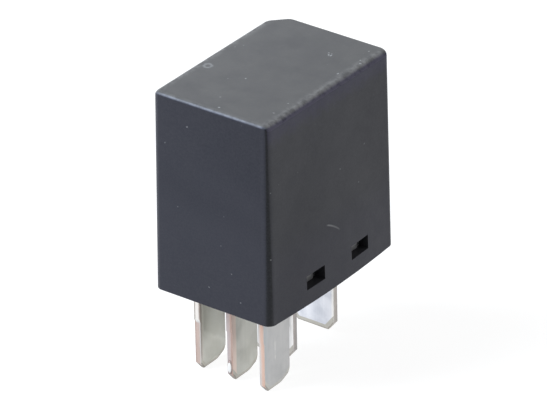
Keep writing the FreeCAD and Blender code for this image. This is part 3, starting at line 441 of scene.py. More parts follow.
def cover_plastic():
    """Matt black moulded plastic: cool on the sides, greyed on top by dust and by painted light
    from above.
    """
    material, tree, shader = new_material(
        "cover_plastic", color(0.032, 0.034, 0.046), 0.45, specular=0.2
    )
    where = object_place(tree)
    x, y, z = split_axes(tree, where)
    nx, ny, nz = split_axes(tree, object_normal(tree))
    ragged = noise(tree, where, 1300.0, 3.0, 0.6)
    crumbled = calc(tree, "SUBTRACT", ragged, 0.5)
    patches = use_group(tree, CLOUDS, {"Scale": 90.0, "Low": 0.3, "High": 0.7})
    skin = blend_color(tree, patches, color(*COVER_COOL), color(*COVER_COOL_PALER))

    # the front is darker towards the top
    dim = product(tree, ramp(tree, z, 8.0 * MM, 24.0 * MM), ramp(tree, ny, -0.6, -0.8), 0.16)
    skin = painted(tree, skin, dim, FRONT_TOP_DARK)

    # the right wall is more neutral in its middle, darker at its far end, bluer below its top edge
    on_right = ramp(tree, nx, 0.3, 0.6)
    middle = product(tree, ramp(tree, z, 5.5 * MM, 11.5 * MM), on_right)
    skin = painted(tree, skin, product(tree, middle, 0.85), RIGHT_MIDDLE)
    far = product(tree, ramp(tree, y, 0.0, 12.0 * MM), middle, 0.6)
    skin = painted(tree, skin, far, RIGHT_FAR)
    upper = calc(tree, "MULTIPLY_ADD", crumbled, 2.4 * MM, z)
    upper = product(tree, ramp(tree, upper, 22.4 * MM, 24.8 * MM), on_right)
    skin = painted(tree, skin, upper, RIGHT_UPPER)

    # dust and painted light from above on the top, with a ragged border on the long rounded edges
    reach_x = calc(tree, "MULTIPLY_ADD", crumbled, 1.0 * MM, calc(tree, "ABSOLUTE", x))
    lying = ramp(tree, reach_x, 8.16 * MM, 7.76 * MM)
    pale_top = use_group(tree, DUST_AND_LIGHT_ON_TOP, {"Cover": 0.9})
    skin = painted(tree, skin, product(tree, pale_top, lying), DUST_AND_TOP_LIGHT_TONE)

    # painted light: a pale bluish tone on the right rounded edge, beyond the top's ragged border
    rounded = product(
        tree, ramp(tree, nz, 0.06, 0.2), ramp(tree, nz, 0.9, 0.7), ramp(tree, nx, 0.2, 0.4)
    )
    rounded_light = product(tree, rounded, calc(tree, "SUBTRACT", 1.0, lying))
    skin = painted(tree, skin, rounded_light, ROUNDED_EDGE_LIGHT)

    # painted highlight: a cool pale line along the front top edge
    worn = product(
        tree,
        ramp(tree, nz, 0.3, 0.6),
        ramp(tree, ny, -0.35, -0.65),
        ramp(tree, nz, 0.99, 0.9),
        ramp(tree, ragged, 0.35, 0.6, 0.4, 0.9),
    )
    skin = painted(tree, skin, worn, FRONT_EDGE_HIGHLIGHT)

    # pale crumbs of wear where the top turns into the walls
    from_side = calc(tree, "SUBTRACT", calc(tree, "ABSOLUTE", x), 6.7 * MM)
    from_end = calc(tree, "SUBTRACT", calc(tree, "ABSOLUTE", y), 11.2 * MM)
    rim = ramp(tree, calc(tree, "MAXIMUM", from_side, from_end), 0.0, 1.0 * MM)
    clouds = use_group(tree, CLOUDS, {"Scale": 1300.0, "Low": 0.36, "High": 0.64})
    crumbs = product(tree, rim, ramp(tree, nz, 0.5, 0.8), clouds, 0.5)
    skin = painted(tree, skin, crumbs, WEAR_CRUMBS)

    # painted shade: a dark line down the front right edge, and the same tone on the cut corner
    # across from it
    turn = product(tree, nx, ny, -2.0)
    turn = calc(tree, "ADD", turn, ramp(tree, z, 22.0 * MM, 2.0 * MM, 0.0, 0.3))
    skin = painted(tree, skin, ramp(tree, turn, 0.5, 0.95, 0.0, 0.8), EDGE_SHADE)

    # fine grain, sparse dust and the marks
    fine = noise(tree, where, 4200.0, 2.0, 0.7)
    skin = painted(tree, skin, ramp(tree, fine, 0.25, 0.75, 0.0, 0.2), SKIN_GRAIN)
    specks = use_group(tree, DUST_SPECKS, {"Cells": 1100.0, "Share": 0.1, "Spot": 0.12})
    skin = painted(tree, skin, product(tree, specks, 0.2), DUST_SPECK)
    marks = use_group(tree, make_cover_marks())
    skin = painted(tree, skin, product(tree, marks, 0.8), PALE_MARK)

    # painted shade on the cut faces of the latch windows
    cut = product(
        tree,
        calc(tree, "LESS_THAN", calc(tree, "ABSOLUTE", nx), 0.6),
        calc(tree, "GREATER_THAN", z, WINDOW_FOOT * MM),
        calc(tree, "LESS_THAN", z, WINDOW_HEAD * MM),
        calc(tree, "LESS_THAN", calc(tree, "ABSOLUTE", y), WINDOW_REACH * MM),
    )
    skin = painted(tree, skin, cut, WINDOW_SHADE)
    feed(tree, skin, shader, "Base Color")

    gloss = ramp(tree, noise(tree, where, 420.0, 4.0, 0.6), 0.3, 0.7, 0.4, 0.5)
    feed(tree, calc(tree, "MULTIPLY_ADD", rounded, 0.4, gloss), shader, "Roughness")
    grain = use_group(tree, MOULDED_GRAIN, {"Wave Share": 1.5})
    add_bump(tree, shader, grain, 0.006 * MM, 0.9)
    return material


TOOTH_RUBBED = (0.12, 0.122, 0.128)


def base_plastic():
    """The same black plastic as the cover's, a little smoother, with its tone painted darker as
    shade seen through the latch windows.
    """
    material, tree, shader = new_material(
        "base_plastic", color(0.03, 0.03, 0.033), 0.42, specular=0.4
    )
    # tones darker than the cover's: painted shade behind the latch windows
    patches = use_group(tree, CLOUDS, {"Scale": 260.0})
    skin = blend_color(tree, patches, color(0.016, 0.016, 0.018), color(0.022, 0.022, 0.025))

    # paler, rubbed outer faces of the teeth
    outward = calc(tree, "ABSOLUTE", axis_of(tree, object_normal(tree), "X"))
    side = calc(tree, "ABSOLUTE", axis_of(tree, object_place(tree), "X"))
    tooth = calc(
        tree, "MULTIPLY", ramp(tree, outward, 0.1, 0.3), ramp(tree, side, 7.1 * MM, 7.3 * MM)
    )
    skin = painted(tree, skin, tooth, TOOTH_RUBBED)
    feed(tree, skin, shader, "Base Color")
    grain = use_group(tree, MOULDED_GRAIN, {"Wave Share": 3.0})
    add_bump(tree, shader, grain, 0.005 * MM)
    return material


def bobbin_plastic():
    """Natural glass-filled plastic, slightly mottled."""
    material, tree, shader = new_material(
        "bobbin_plastic", color(0.62, 0.57, 0.46), 0.45, specular=0.45
    )
    mottle = use_group(tree, CLOUDS, {"Scale": 700.0, "Low": 0.3, "High": 0.7})
    skin = blend_color(tree, mottle, color(0.58, 0.53, 0.42), color(0.68, 0.63, 0.52))
    feed(tree, skin, shader, "Base Color")
    grain = use_group(tree, MOULDED_GRAIN, {"Grain Scale": 7000.0})
    add_bump(tree, shader, grain, 0.004 * MM)
    return material


def color_steps(tree, value, steps):
    """Colours along a value: each step is a place from zero to one and its colour."""
    node = place(tree, "ShaderNodeValToRGB", {"Fac": value})
    elements = node.color_ramp.elements
    elements.remove(elements[1])
    elements[0].position, elements[0].color = steps[0][0], color(*steps[0][1])
    for where, tone in steps[1:]:
        elements.new(where).color = color(*tone)
    return node.outputs["Color"]


def share_across(tree, value, centre, half):
    """Zero to one from one side of a strip to the other."""
    from_start = calc(tree, "SUBTRACT", value, (centre - half) * MM)
    return calc(tree, "DIVIDE", from_start, 2 * half * MM)


# Blade outlines in millimetres: middles and halves of their widths, and their corner cuts
HALF_BLADE = 0.4
BLADE_TIP = -11.4
SMALL_MIDDLE = -6.65
SMALL_HALF = 2.4
LARGE_HALF = 3.15
FRONT_CUT = (0.75, 1.0)
BACK_CUT = (1.45, 1.0)
LARGE_CUT = (0.95, 1.2)

# Tones of the blades
# pale lines, and the painted highlight where the left blade's edge strip meets its face
PALE_LINE_AND_HIGHLIGHT = (0.84, 0.83, 0.81)
DARK_LINE = (0.3, 0.27, 0.24)
BROWN_LINE = (0.36, 0.27, 0.23)
GREY_BEIGE = (0.46, 0.43, 0.4)
PEACH = (0.66, 0.5, 0.44)
PALE_PEACH = (0.74, 0.6, 0.54)
LAVENDER = (0.63, 0.55, 0.56)
OFF_WHITE = (0.86, 0.83, 0.8)
FLECK = (0.8, 0.77, 0.76)
SOLDER_AND_HIGHLIGHT = (0.93, 0.93, 0.92)
SOLDER_BORDER = (0.4, 0.32, 0.3)
WORN_METALLIC = 0.55


def inside_outline(tree, along, z, half, low_cut, high_cut):
    """How far a spot on a blade's face lies inside the blade's lower outline."""
    above_tip = calc(tree, "SUBTRACT", z, BLADE_TIP * MM)
    distance = above_tip
    for sign, (width, height) in ((-1.0, low_cut), (1.0, high_cut)):
        run = math.hypot(width, height)
        outward = calc(tree, "MULTIPLY_ADD", along, sign, (width - half) * MM)
        rise = calc(tree, "MULTIPLY", above_tip, width / run)
        sloped = calc(tree, "MULTIPLY_ADD", outward, -height / run, rise)
        distance = calc(tree, "MINIMUM", distance, sloped)
    return distance


def blade_metal(
    name, thin_axis, centre, face, dull, strip, margin, lean=0.0, upper=None,
    shade=None, streak=None, coined=None, bead=None, metallic=WORN_METALLIC,
):
    """Tin plate over copper alloy: plated faces and sheared edges with smeared plating.

    centre: middle of the blade's thickness. face and dull: the plating's two tones, with each
    blade's painted reflection in them.
    strip: colours across the sheared edge.
    lean: share of the edge's width by which they drift per millimetre of height.
    margin: width of the face's margin beside that edge, and its colours: worn on the small blades,
    a painted highlight on the large ones.
    upper: level above which the edge takes paler colours and more shine, and those colours across.
    shade: level, slope along the blade and colour of painted shade high on the face.
    streak: place along the blade, top and foot of one bright brushed line.
    coined: width of the pressed band inside the lower outline, and its colour.
    bead: middle and half sizes of a drop of solder on the edge, its near-white core partly a
    painted highlight.
    """
    material, tree, shader = new_material(name, color(*face), 0.4, metallic, 0.5)
    where = object_place(tree)
    x, y, z = split_axes(tree, where)
    normal = split_axes(tree, object_normal(tree))
    facing = calc(tree, "ABSOLUTE", normal[thin_axis])
    down = calc(tree, "LESS_THAN", normal["Z"], -0.5)
    ragged = calc(tree, "SUBTRACT", noise(tree, where, 1500.0, 3.0), 0.5)
    if thin_axis == "X":
        across = x
        outline = inside_outline(
            tree, calc(tree, "ADD", y, SMALL_MIDDLE * -MM), z, SMALL_HALF, FRONT_CUT, BACK_CUT
        )
        from_edge = calc(tree, "SUBTRACT", y, (SMALL_MIDDLE - SMALL_HALF) * MM)
    else:
        across = y
        outline = inside_outline(tree, x, z, LARGE_HALF, LARGE_CUT, LARGE_CUT)
        from_edge = calc(tree, "SUBTRACT", LARGE_HALF * MM, x)

    streaks = use_group(
        tree, CLOUDS, {"Scale": 1100.0, "Stretch": (1.0, 1.0, 0.06), "Low": 0.3, "High": 0.7}
    )
    stains = use_group(tree, CLOUDS, {"Scale": 420.0, "Low": 0.36, "High": 0.68})
    mottle = calc(tree, "MULTIPLY_ADD", streaks, 0.5, calc(tree, "MULTIPLY", stains, 0.5))
    plate = blend_color(tree, mottle, color(*face), color(*dull))
    # painted shade on the face above a sloped line
    if shade:
        level, slope, tone = shade
        line = calc(tree, "MULTIPLY_ADD", y, -slope, z)
        line = calc(tree, "MULTIPLY_ADD", ragged, 0.5 * MM, line)
        above_line = ramp(tree, line, (level - 0.25) * MM, (level + 0.35) * MM)
        plate = painted(tree, plate, above_line, tone)
    if streak:
        along, top, foot = streak
        from_line = calc(tree, "ABSOLUTE", calc(tree, "SUBTRACT", y, along * MM))
        thin = product(
            tree,
            ramp(tree, from_line, 0.14 * MM, 0.02 * MM),
            ramp(tree, z, top * MM, (top - 0.8) * MM),
            ramp(tree, z, (foot - 0.5) * MM, foot * MM),
            ramp(tree, ragged, -0.2, 0.1, 0.2, 0.6),
        )
        plate = painted(tree, plate, thin, PALE_LINE_AND_HIGHLIGHT)

    # margin beside the sheared edge: worn on the small blades, a painted highlight on the large
    # ones
    width, margin_steps = margin
    from_edge = calc(tree, "MULTIPLY_ADD", ragged, 0.12 * MM, from_edge)
    share = calc(tree, "DIVIDE", from_edge, width * MM)
    beside = product(tree, ramp(tree, share, 1.0, 0.8), ramp(tree, z, 1.0 * MM, 0.0))
    plate = blend_color(tree, beside, plate, color_steps(tree, share, margin_steps))

    # pressed band and thin dirty line inside the lower outline
    if coined:
        width, tone = coined
        low = calc(tree, "MULTIPLY_ADD", ragged, 0.1 * MM, outline)
        low = ramp(tree, low, (width + 0.05) * MM, (width - 0.05) * MM)
        plate = painted(tree, plate, low, tone)
    dirty = calc(tree, "MULTIPLY_ADD", ragged, 0.25 * MM, outline)
    dirty = ramp(tree, dirty, 0.2 * MM, 0.08 * MM, 0.0, 0.75)
    plate = painted(tree, plate, dirty, DARK_LINE)

    # sheared edge
    edge_share = share_across(tree, across, centre, HALF_BLADE)
    drift = calc(tree, "MULTIPLY", calc(tree, "SUBTRACT", z, BLADE_TIP * MM), lean / MM)
    edge_share = calc(tree, "ADD", edge_share, drift)
    edge_share = calc(tree, "MULTIPLY_ADD", ragged, 0.16, edge_share)
    bare = color_steps(tree, edge_share, strip)
    sheared = product(tree, ramp(tree, facing, 0.92, 0.78), calc(tree, "SUBTRACT", 1.0, down))
    if upper:
        level, plated_strip = upper
        plated = color_steps(tree, share_across(tree, across, centre, HALF_BLADE), plated_strip)
        edge_level = calc(tree, "MULTIPLY_ADD", ragged, 0.5 * MM, z)
        above = ramp(tree, edge_level, (level - 0.1) * MM, (level + 0.1) * MM)
        bare = blend_color(tree, above, bare, plated)
        from_level = calc(tree, "ABSOLUTE", calc(tree, "SUBTRACT", z, level * MM))
        rim = product(
            tree, ramp(tree, from_level, 0.4 * MM, 0.1 * MM), ramp(tree, edge_share, 0.15, 0.3)
        )
        bare = painted(tree, bare, rim, PALE_LINE_AND_HIGHLIGHT)
        shiny = product(tree, sheared, above, 1.0 - metallic)
        feed(tree, calc(tree, "ADD", shiny, metallic), shader, "Metallic")
    flecks = use_group(
        tree, CLOUDS, {"Scale": 2600.0, "Stretch": (1.0, 1.0, 0.35), "Low": 0.5, "High": 0.8}
    )
    bare = painted(tree, bare, product(tree, flecks, 0.3), FLECK)
    foot = ramp(tree, z, (BLADE_TIP + FRONT_CUT[1]) * MM, (BLADE_TIP + 0.5) * MM, 0.0, 0.5)
    bare = painted(tree, bare, foot, DARK_LINE)
    if bead:
        (bead_x, bead_z), (half_x, half_z) = bead
        dx = calc(tree, "DIVIDE", calc(tree, "SUBTRACT", x, bead_x * MM), half_x * MM)
        dz = calc(tree, "DIVIDE", calc(tree, "SUBTRACT", z, bead_z * MM), half_z * MM)
        squares = calc(tree, "MULTIPLY_ADD", dx, dx, calc(tree, "MULTIPLY", dz, dz))
        away = calc(tree, "MULTIPLY_ADD", ragged, 0.2, calc(tree, "SQRT", squares))
        bare = painted(tree, bare, ramp(tree, away, 1.35, 1.1), SOLDER_BORDER)
        # near-white core of the drop: solder's tone with a painted highlight
        bare = painted(tree, bare, ramp(tree, away, 0.95, 0.75), SOLDER_AND_HIGHLIGHT)
    feed(tree, blend_color(tree, sheared, plate, bare), shader, "Base Color")
    rough = ramp(tree, stains, 0.0, 1.0, 0.36, 0.5)
    feed(tree, calc(tree, "MULTIPLY_ADD", sheared, 0.12, rough), shader, "Roughness")
    height = calc(tree, "MULTIPLY_ADD", streaks, 0.5, noise(tree, where, 5000.0, 2.0))
    add_bump(tree, shader, height, 0.006 * MM)
    return material


# Noise scales of the plain metals
METAL_DRIFT = 600.0
METAL_GRAIN = 3600.0


def metal(name, first, second, roughness, stretch=(1.0, 1.0, 1.0)):
    """A plain metal whose tone and gloss drift softly between two states."""
    material, tree, shader = new_material(name, color(*first), roughness, metallic=1.0)
    drift = use_group(
        tree, CLOUDS, {"Scale": METAL_DRIFT, "Stretch": stretch, "Low": 0.3, "High": 0.7}
    )
    feed(tree, blend_color(tree, drift, color(*first), color(*second)), shader, "Base Color")
    gloss = ramp(tree, drift, 0.0, 1.0, roughness - 0.05, roughness + 0.07)
    feed(tree, gloss, shader, "Roughness")
    add_bump(tree, shader, noise(tree, object_place(tree), METAL_GRAIN, 2.0), 0.003 * MM)
    return material


MATERIALS = {
    "cover_plastic": cover_plastic(),
    "base_plastic": base_plastic(),
    "bobbin_plastic": bobbin_plastic(),
    # one tin plate on all blades; their face tones differ as painted reflection: brighter on the
    # large blades that face the front, bluer on the common one
    "blade_left": blade_metal(
        "blade_left", "X", -4.65, (0.74, 0.74, 0.68), (0.66, 0.66, 0.6),
        # the strip ends in a painted highlight along the bevel to the face
        strip=[(0.0, BROWN_LINE), (0.16, PEACH), (0.6, PALE_PEACH), (0.82, PALE_PEACH),
               (0.92, PALE_LINE_AND_HIGHLIGHT), (1.0, PALE_LINE_AND_HIGHLIGHT)],
        margin=(0.7, [(0.0, (0.56, 0.51, 0.47)), (0.3, (0.56, 0.51, 0.47)),
                      (0.5, (0.74, 0.72, 0.66)), (1.0, (0.72, 0.72, 0.66))]),
        upper=(-4.7, [(0.0, GREY_BEIGE), (0.18, GREY_BEIGE), (0.34, OFF_WHITE),
                      (0.78, OFF_WHITE), (0.9, GREY_BEIGE), (1.0, PALE_PEACH)]),
        shade=(-12.39, -0.72, (0.62, 0.62, 0.56)),
        coined=(0.45, (0.62, 0.6, 0.53)),
    ),
    "blade_middle": blade_metal(
        "blade_middle", "X", 0.0, (0.67, 0.67, 0.62), (0.57, 0.57, 0.52),
        strip=[(0.0, (0.48, 0.43, 0.42)), (0.12, LAVENDER), (0.7, (0.66, 0.54, 0.5)),
               (0.82, (0.56, 0.38, 0.32)), (0.88, (0.56, 0.38, 0.32)), (1.0, (0.78, 0.6, 0.53))],
        margin=(0.85, [(0.0, (0.86, 0.68, 0.6)), (0.6, (0.86, 0.71, 0.63)),
                       (1.0, (0.73, 0.67, 0.6))]),
        coined=(0.5, (0.56, 0.54, 0.48)),
        bead=((-0.05, -9.5), (0.3, 0.8)),
    ),
    "blade_right": blade_metal(
        "blade_right", "X", 4.65, (0.6, 0.6, 0.6), (0.53, 0.535, 0.54),
        strip=[(0.0, (0.72, 0.68, 0.66)), (0.3, (0.82, 0.74, 0.7)), (0.5, (0.86, 0.63, 0.53)),
               (0.86, (0.86, 0.6, 0.49)), (1.0, (0.74, 0.62, 0.56))],
        margin=(0.6, [(0.0, (0.52, 0.54, 0.55)), (1.0, (0.57, 0.58, 0.59))]),
        lean=0.012, streak=(-7.05, -4.6, -7.4), coined=(0.5, (0.6, 0.6, 0.56)),
    ),
    # on the large blades the white margin and the pale front end of the edge strip are painted
    # highlights on the edges' bevels
    "blade_make": blade_metal(
        "blade_make", "Y", -0.55, (0.84, 0.85, 0.86), (0.72, 0.74, 0.75),
        strip=[(0.0, (0.7, 0.68, 0.66)), (0.15, (0.4, 0.37, 0.36)), (0.5, (0.4, 0.38, 0.37)),
               (1.0, (0.35, 0.34, 0.33))],
        margin=(0.3, [(0.0, (0.95, 0.95, 0.95)), (1.0, (0.95, 0.95, 0.95))]),
        coined=(0.6, (0.52, 0.51, 0.48)), metallic=1.0,
    ),
    "blade_common": blade_metal(
        "blade_common", "Y", 7.45, (0.84, 0.86, 0.92), (0.62, 0.65, 0.72),
        strip=[(0.0, (0.83, 0.82, 0.81)), (0.12, (0.48, 0.46, 0.43)), (0.5, (0.46, 0.43, 0.41)),
               (1.0, (0.42, 0.4, 0.38))],
        margin=(0.3, [(0.0, (0.95, 0.95, 0.94)), (1.0, (0.9, 0.9, 0.9))]),
        coined=(0.65, (0.52, 0.51, 0.47)), metallic=1.0,
    ),
    "yoke_steel": metal("yoke_steel", (0.58, 0.58, 0.55), (0.5, 0.5, 0.47), 0.38),
    "core_steel": metal("core_steel", (0.5, 0.5, 0.5), (0.42, 0.42, 0.43), 0.32),
    "rivet_steel": metal("rivet_steel", (0.6, 0.6, 0.58), (0.5, 0.5, 0.48), 0.34),
    "spring_bronze": metal(
        "spring_bronze", (0.72, 0.5, 0.27), (0.62, 0.41, 0.2), 0.3, (1.0, 0.1, 0.1)
    ),
    "contact_silver": metal("contact_silver", (0.86, 0.85, 0.82), (0.7, 0.68, 0.64), 0.28),
    "coil_copper": metal(
        "coil_copper", (0.62, 0.24, 0.09), (0.5, 0.17, 0.06), 0.25, (1.0, 1.0, 3.0)
    ),
}


# Pieces made from the solids: merged, with softened edges and smooth rounds

# Distance for merging, and angles between faces: flat enough to join, softened, kept sharp
WELD = 0.0005 * MM
FLAT_TURN = math.radians(0.5)
SOFTENED_TURN = math.radians(40.0)
SHARP_TURN = math.radians(32.0)
WIRE_SHARP_TURN = math.radians(60.0)


def finish_mesh(mesh, sharp_angle=SHARP_TURN):
    """Smooth the rounds and keep the edges that turn more than the given angle."""
    mesh.polygons.foreach_set("use_smooth", [True] * len(mesh.polygons))
    mesh.set_sharp_from_angle(angle=sharp_angle)
    mesh.update()


def merged_copy(node):
    """The node's triangles as one closed mesh, with flat faces joined up."""
    work = bmesh.new()
    work.from_mesh(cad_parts[node].data)
    bmesh.ops.remove_doubles(work, verts=work.verts, dist=WELD)
    bmesh.ops.dissolve_limit(
        work,
        angle_limit=FLAT_TURN,
        verts=work.verts,
        edges=work.edges,
        delimit={"NORMAL"},
    )
    return work


def soften(work, width):
    """Bevel the edges that turn by more than the set angle."""
    edges = [e for e in work.edges if e.is_manifold and e.calc_face_angle(0.0) > SOFTENED_TURN]
    bmesh.ops.bevel(
        work,
        geom=edges,
        offset=width * MM,
        offset_type="OFFSET",
        segments=2,
        profile=0.5,
        affect="EDGES",
        clamp_overlap=True,
    )


def dress(node, name, material, body=STILL, edge=0.0, prepare=None):
    """Stand a finished piece in for one node, on the same body and in the same place.

    edge: width in millimetres by which its edges are softened. prepare: a last change to it.
    """
    work = merged_copy(node)
    if edge:
        soften(work, edge)
    if prepare:
        prepare(work)
    mesh = bpy.data.meshes.new(name)
    work.to_mesh(mesh)
    work.free()
    finish_mesh(mesh)
    piece = bpy.data.objects.new(name, mesh)
    scene.collection.objects.link(piece)
    piece.data.materials.append(MATERIALS[material])
    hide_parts(node)
    if body:
        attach(piece, body)
    return piece


# The cover in millimetres: cuts across it, and its long walls' bulges and draft
COVER_CUTS_Y = [1.5 * step for step in range(-7, 8)]
COVER_CUTS_Z = [3.0 * step for step in range(1, 9)]
BULGE_HALF_LENGTHS = {1.0: 10.95, -1.0: 9.25}
BULGE_TOP = 23.4
BULGE_DEPTH = 0.42
BULGE_EASE = 2.5
WALL_DRAFT = 0.01
OUTER_WALL = 8.0
FRONT_RIGHT_CORNER = (7.2, -11.0)

# Degrees next to each wall where the front right edge keeps that wall's direction
TOP_REST = 26.0
FOOT_REST = 2.0


def cut_walls(work):
    """Cut the cover across at even steps, so its walls carry evenly spaced normals."""
    cuts = [((0, y * MM, 0), (0, 1, 0)) for y in COVER_CUTS_Y]
    cuts += [((0, 0, z * MM), (0, 0, 1)) for z in COVER_CUTS_Z]
    for point, direction in cuts:
        bmesh.ops.bisect_plane(
            work,
            geom=work.verts[:] + work.edges[:] + work.faces[:],
            dist=WELD,
            plane_co=point,
            plane_no=direction,
        )


def eased(value, low, high):
    """A smooth step of a plain number from low to high."""
    share = min(max((value - low) / (high - low), 0.0), 1.0)
    return share * share * (3.0 - 2.0 * share)


def wall_normal(spot, side):
    """Outward direction of a long wall with its shallow bulge."""
    half_length = BULGE_HALF_LENGTHS[side]
    radius = (half_length ** 2 + BULGE_DEPTH ** 2) / (2.0 * BULGE_DEPTH)
    reach = half_length * math.sqrt(max(1.0 - spot.z / BULGE_TOP, 0.0))
    inside = eased(reach - abs(spot.y), -BULGE_EASE, BULGE_EASE)
    along = inside * spot.y / radius
    upward = WALL_DRAFT + inside * BULGE_DEPTH / BULGE_TOP
    return Vector((side, along, upward)).normalized()


def quick_turn(normal, height):
    """Let the front right edge turn in a narrow line that widens downwards."""
    angle = math.degrees(math.atan2(normal.x, -normal.y))
    down = min(max(1.0 - height / COVER_TOP, 0.0), 1.0)
    rest = TOP_REST - (TOP_REST - FOOT_REST) * down
    turned = math.radians(90.0 * eased(angle, rest, 90.0 - rest))
    flat = math.hypot(normal.x, normal.y)
    return Vector((math.sin(turned) * flat, -math.cos(turned) * flat, normal.z))


FLAT_WALLS = [
    Vector(direction).normalized()
    for direction in ((1, 0, 0), (-1, 0, 0), (0, 1, 0), (0, -1, 0), (0, 0, 1), (-1, 1, 0))
]

# Cosines to a wall's direction, and parts of a normal, that tell walls and rounds apart
NEARLY_FLAT = 0.9945
SAME_SIDE = 0.85
TURNING = 0.02
UPRIGHT = 0.4


def shade_cover(mesh):
    """Let the flat walls keep their own direction up to their rounded edges."""
    wall_normals = {}
    for polygon in mesh.polygons:
        if not any(polygon.normal.dot(wall) > NEARLY_FLAT for wall in FLAT_WALLS):
            continue
        for index in polygon.vertices:
            spot = mesh.vertices[index].co / MM
            normal = polygon.normal.copy()
            if abs(normal.x) > NEARLY_FLAT and abs(spot.x) > OUTER_WALL:
                normal = wall_normal(spot, math.copysign(1.0, normal.x))
            wall_normals.setdefault(index, []).append(normal)
    normals = []
    for corner, loop in enumerate(mesh.loops):
        spot = mesh.vertices[loop.vertex_index].co / MM
        normal = mesh.corner_normals[corner].vector.copy()
        near = [n for n in wall_normals.get(loop.vertex_index, []) if n.dot(normal) > SAME_SIDE]
        if near:
            normal = max(near, key=normal.dot)
        at_corner = spot.x > FRONT_RIGHT_CORNER[0] and spot.y < FRONT_RIGHT_CORNER[1]
        turning = normal.x > TURNING and normal.y < -TURNING and normal.z < UPRIGHT
        if at_corner and turning:
            normal = quick_turn(normal, spot.z)
        normals.append(normal)
    mesh.normals_split_custom_set(normals)


cover_shell = dress("cover", "cover_shell", "cover_plastic", edge=0.09, prepare=cut_walls)
shade_cover(cover_shell.data)
dress("base", "base_plate", "base_plastic", edge=0.05)

STAMPED_EDGE = 0.1
BEAD_PLACE = (-0.06, -9.05, -9.5)
BEAD_HALF_SIZES = (0.34, 0.17, 0.88)


def add_bead(work):
    """A drop of solder left on the front edge of the middle blade."""
    made = bmesh.ops.create_uvsphere(work, u_segments=16, v_segments=12, radius=MM)
    bmesh.ops.scale(work, vec=BEAD_HALF_SIZES, verts=made["verts"])
    bmesh.ops.translate(work, vec=mm(*BEAD_PLACE), verts=made["verts"])


for node, name, material, prepare in (
    ("coil_terminal_left", "coil_blade_left", "blade_left", None),
    ("break_terminal", "break_blade", "blade_middle", add_bead),
    ("coil_terminal_right", "coil_blade_right", "blade_right", None),
    ("make_terminal", "make_blade", "blade_make", None),
    ("common_terminal", "common_blade", "blade_common", None),
):
    dress(node, name, material, edge=STAMPED_EDGE, prepare=prepare)
dress("yoke", "bent_yoke", "yoke_steel", edge=0.12)
dress("core", "pole_core", "core_steel")
dress("bobbin", "coil_bobbin", "bobbin_plastic", edge=0.08)
dress("armature", "armature_plate", "yoke_steel", MOVING, STAMPED_EDGE)
dress("moving_contact", "moving_contact_rivet", "contact_silver", MOVING)
dress("break_contact", "break_contact_rivet", "contact_silver")
dress("make_contact", "make_contact_rivet", "contact_silver")
dress("armature_rivets", "armature_rivet_pair", "rivet_steel", MOVING)
dress("yoke_rivets", "yoke_rivet_pair", "rivet_steel")
dress("terminal_rivets", "terminal_rivet_pair", "rivet_steel")


# Leaf spring: one strip between the yoke and the armature, set on neither body

leaf = dress("contact_spring", "leaf_spring", "spring_bronze", body=None)
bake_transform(leaf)


# Winding, made with geometry nodes, and the two wire ends, dressed like the other pieces

WIRE = 0.11 * MM
TURNS = 42.0
DRUM_INSET = 1.6 * WIRE


def geometry_tree(name, inputs):
    tree = bpy.data.node_groups.new(name, "GeometryNodeTree")
    identifiers = {}
    for label, kind, value in inputs:
        socket = tree.interface.new_socket(label, in_out="INPUT", socket_type=kind)
        socket.default_value = value
        identifiers[label] = socket.identifier
    tree.interface.new_socket("Geometry", in_out="OUTPUT", socket_type="NodeSocketGeometry")
    return tree, tree.nodes.new("NodeGroupInput"), tree.nodes.new("NodeGroupOutput"), identifiers


def finish_geometry(tree, end, geometry, material):
    """Every tree ends in real faces with their material."""
    realised = place(tree, "GeometryNodeRealizeInstances", {0: geometry})
    coated = place(
        tree, "GeometryNodeSetMaterial", {"Geometry": realised.outputs[0], "Material": material}
    )
    tree.links.new(coated.outputs[0], end.inputs["Geometry"])


def grow(name, tree, identifiers, values, body, node):
    """Evaluate a tree on an empty mesh and keep the result as a plain mesh."""
    holder = bpy.data.objects.new(f"{name}_holder", bpy.data.meshes.new(f"{name}_holder"))
    scene.collection.objects.link(holder)
    modifier = holder.modifiers.new("made", "NODES")
    modifier.node_group = tree
    for label, value in values.items():
        modifier[identifiers[label]] = value
    depsgraph = bpy.context.evaluated_depsgraph_get()
    mesh = bpy.data.meshes.new_from_object(holder.evaluated_get(depsgraph))
    mesh.name = name
    holder.modifiers.clear()
    bpy.data.objects.remove(holder)
    finish_mesh(mesh, WIRE_SHARP_TURN)
    piece = bpy.data.objects.new(name, mesh)
    scene.collection.objects.link(piece)
    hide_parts(node)
    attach(piece, body)


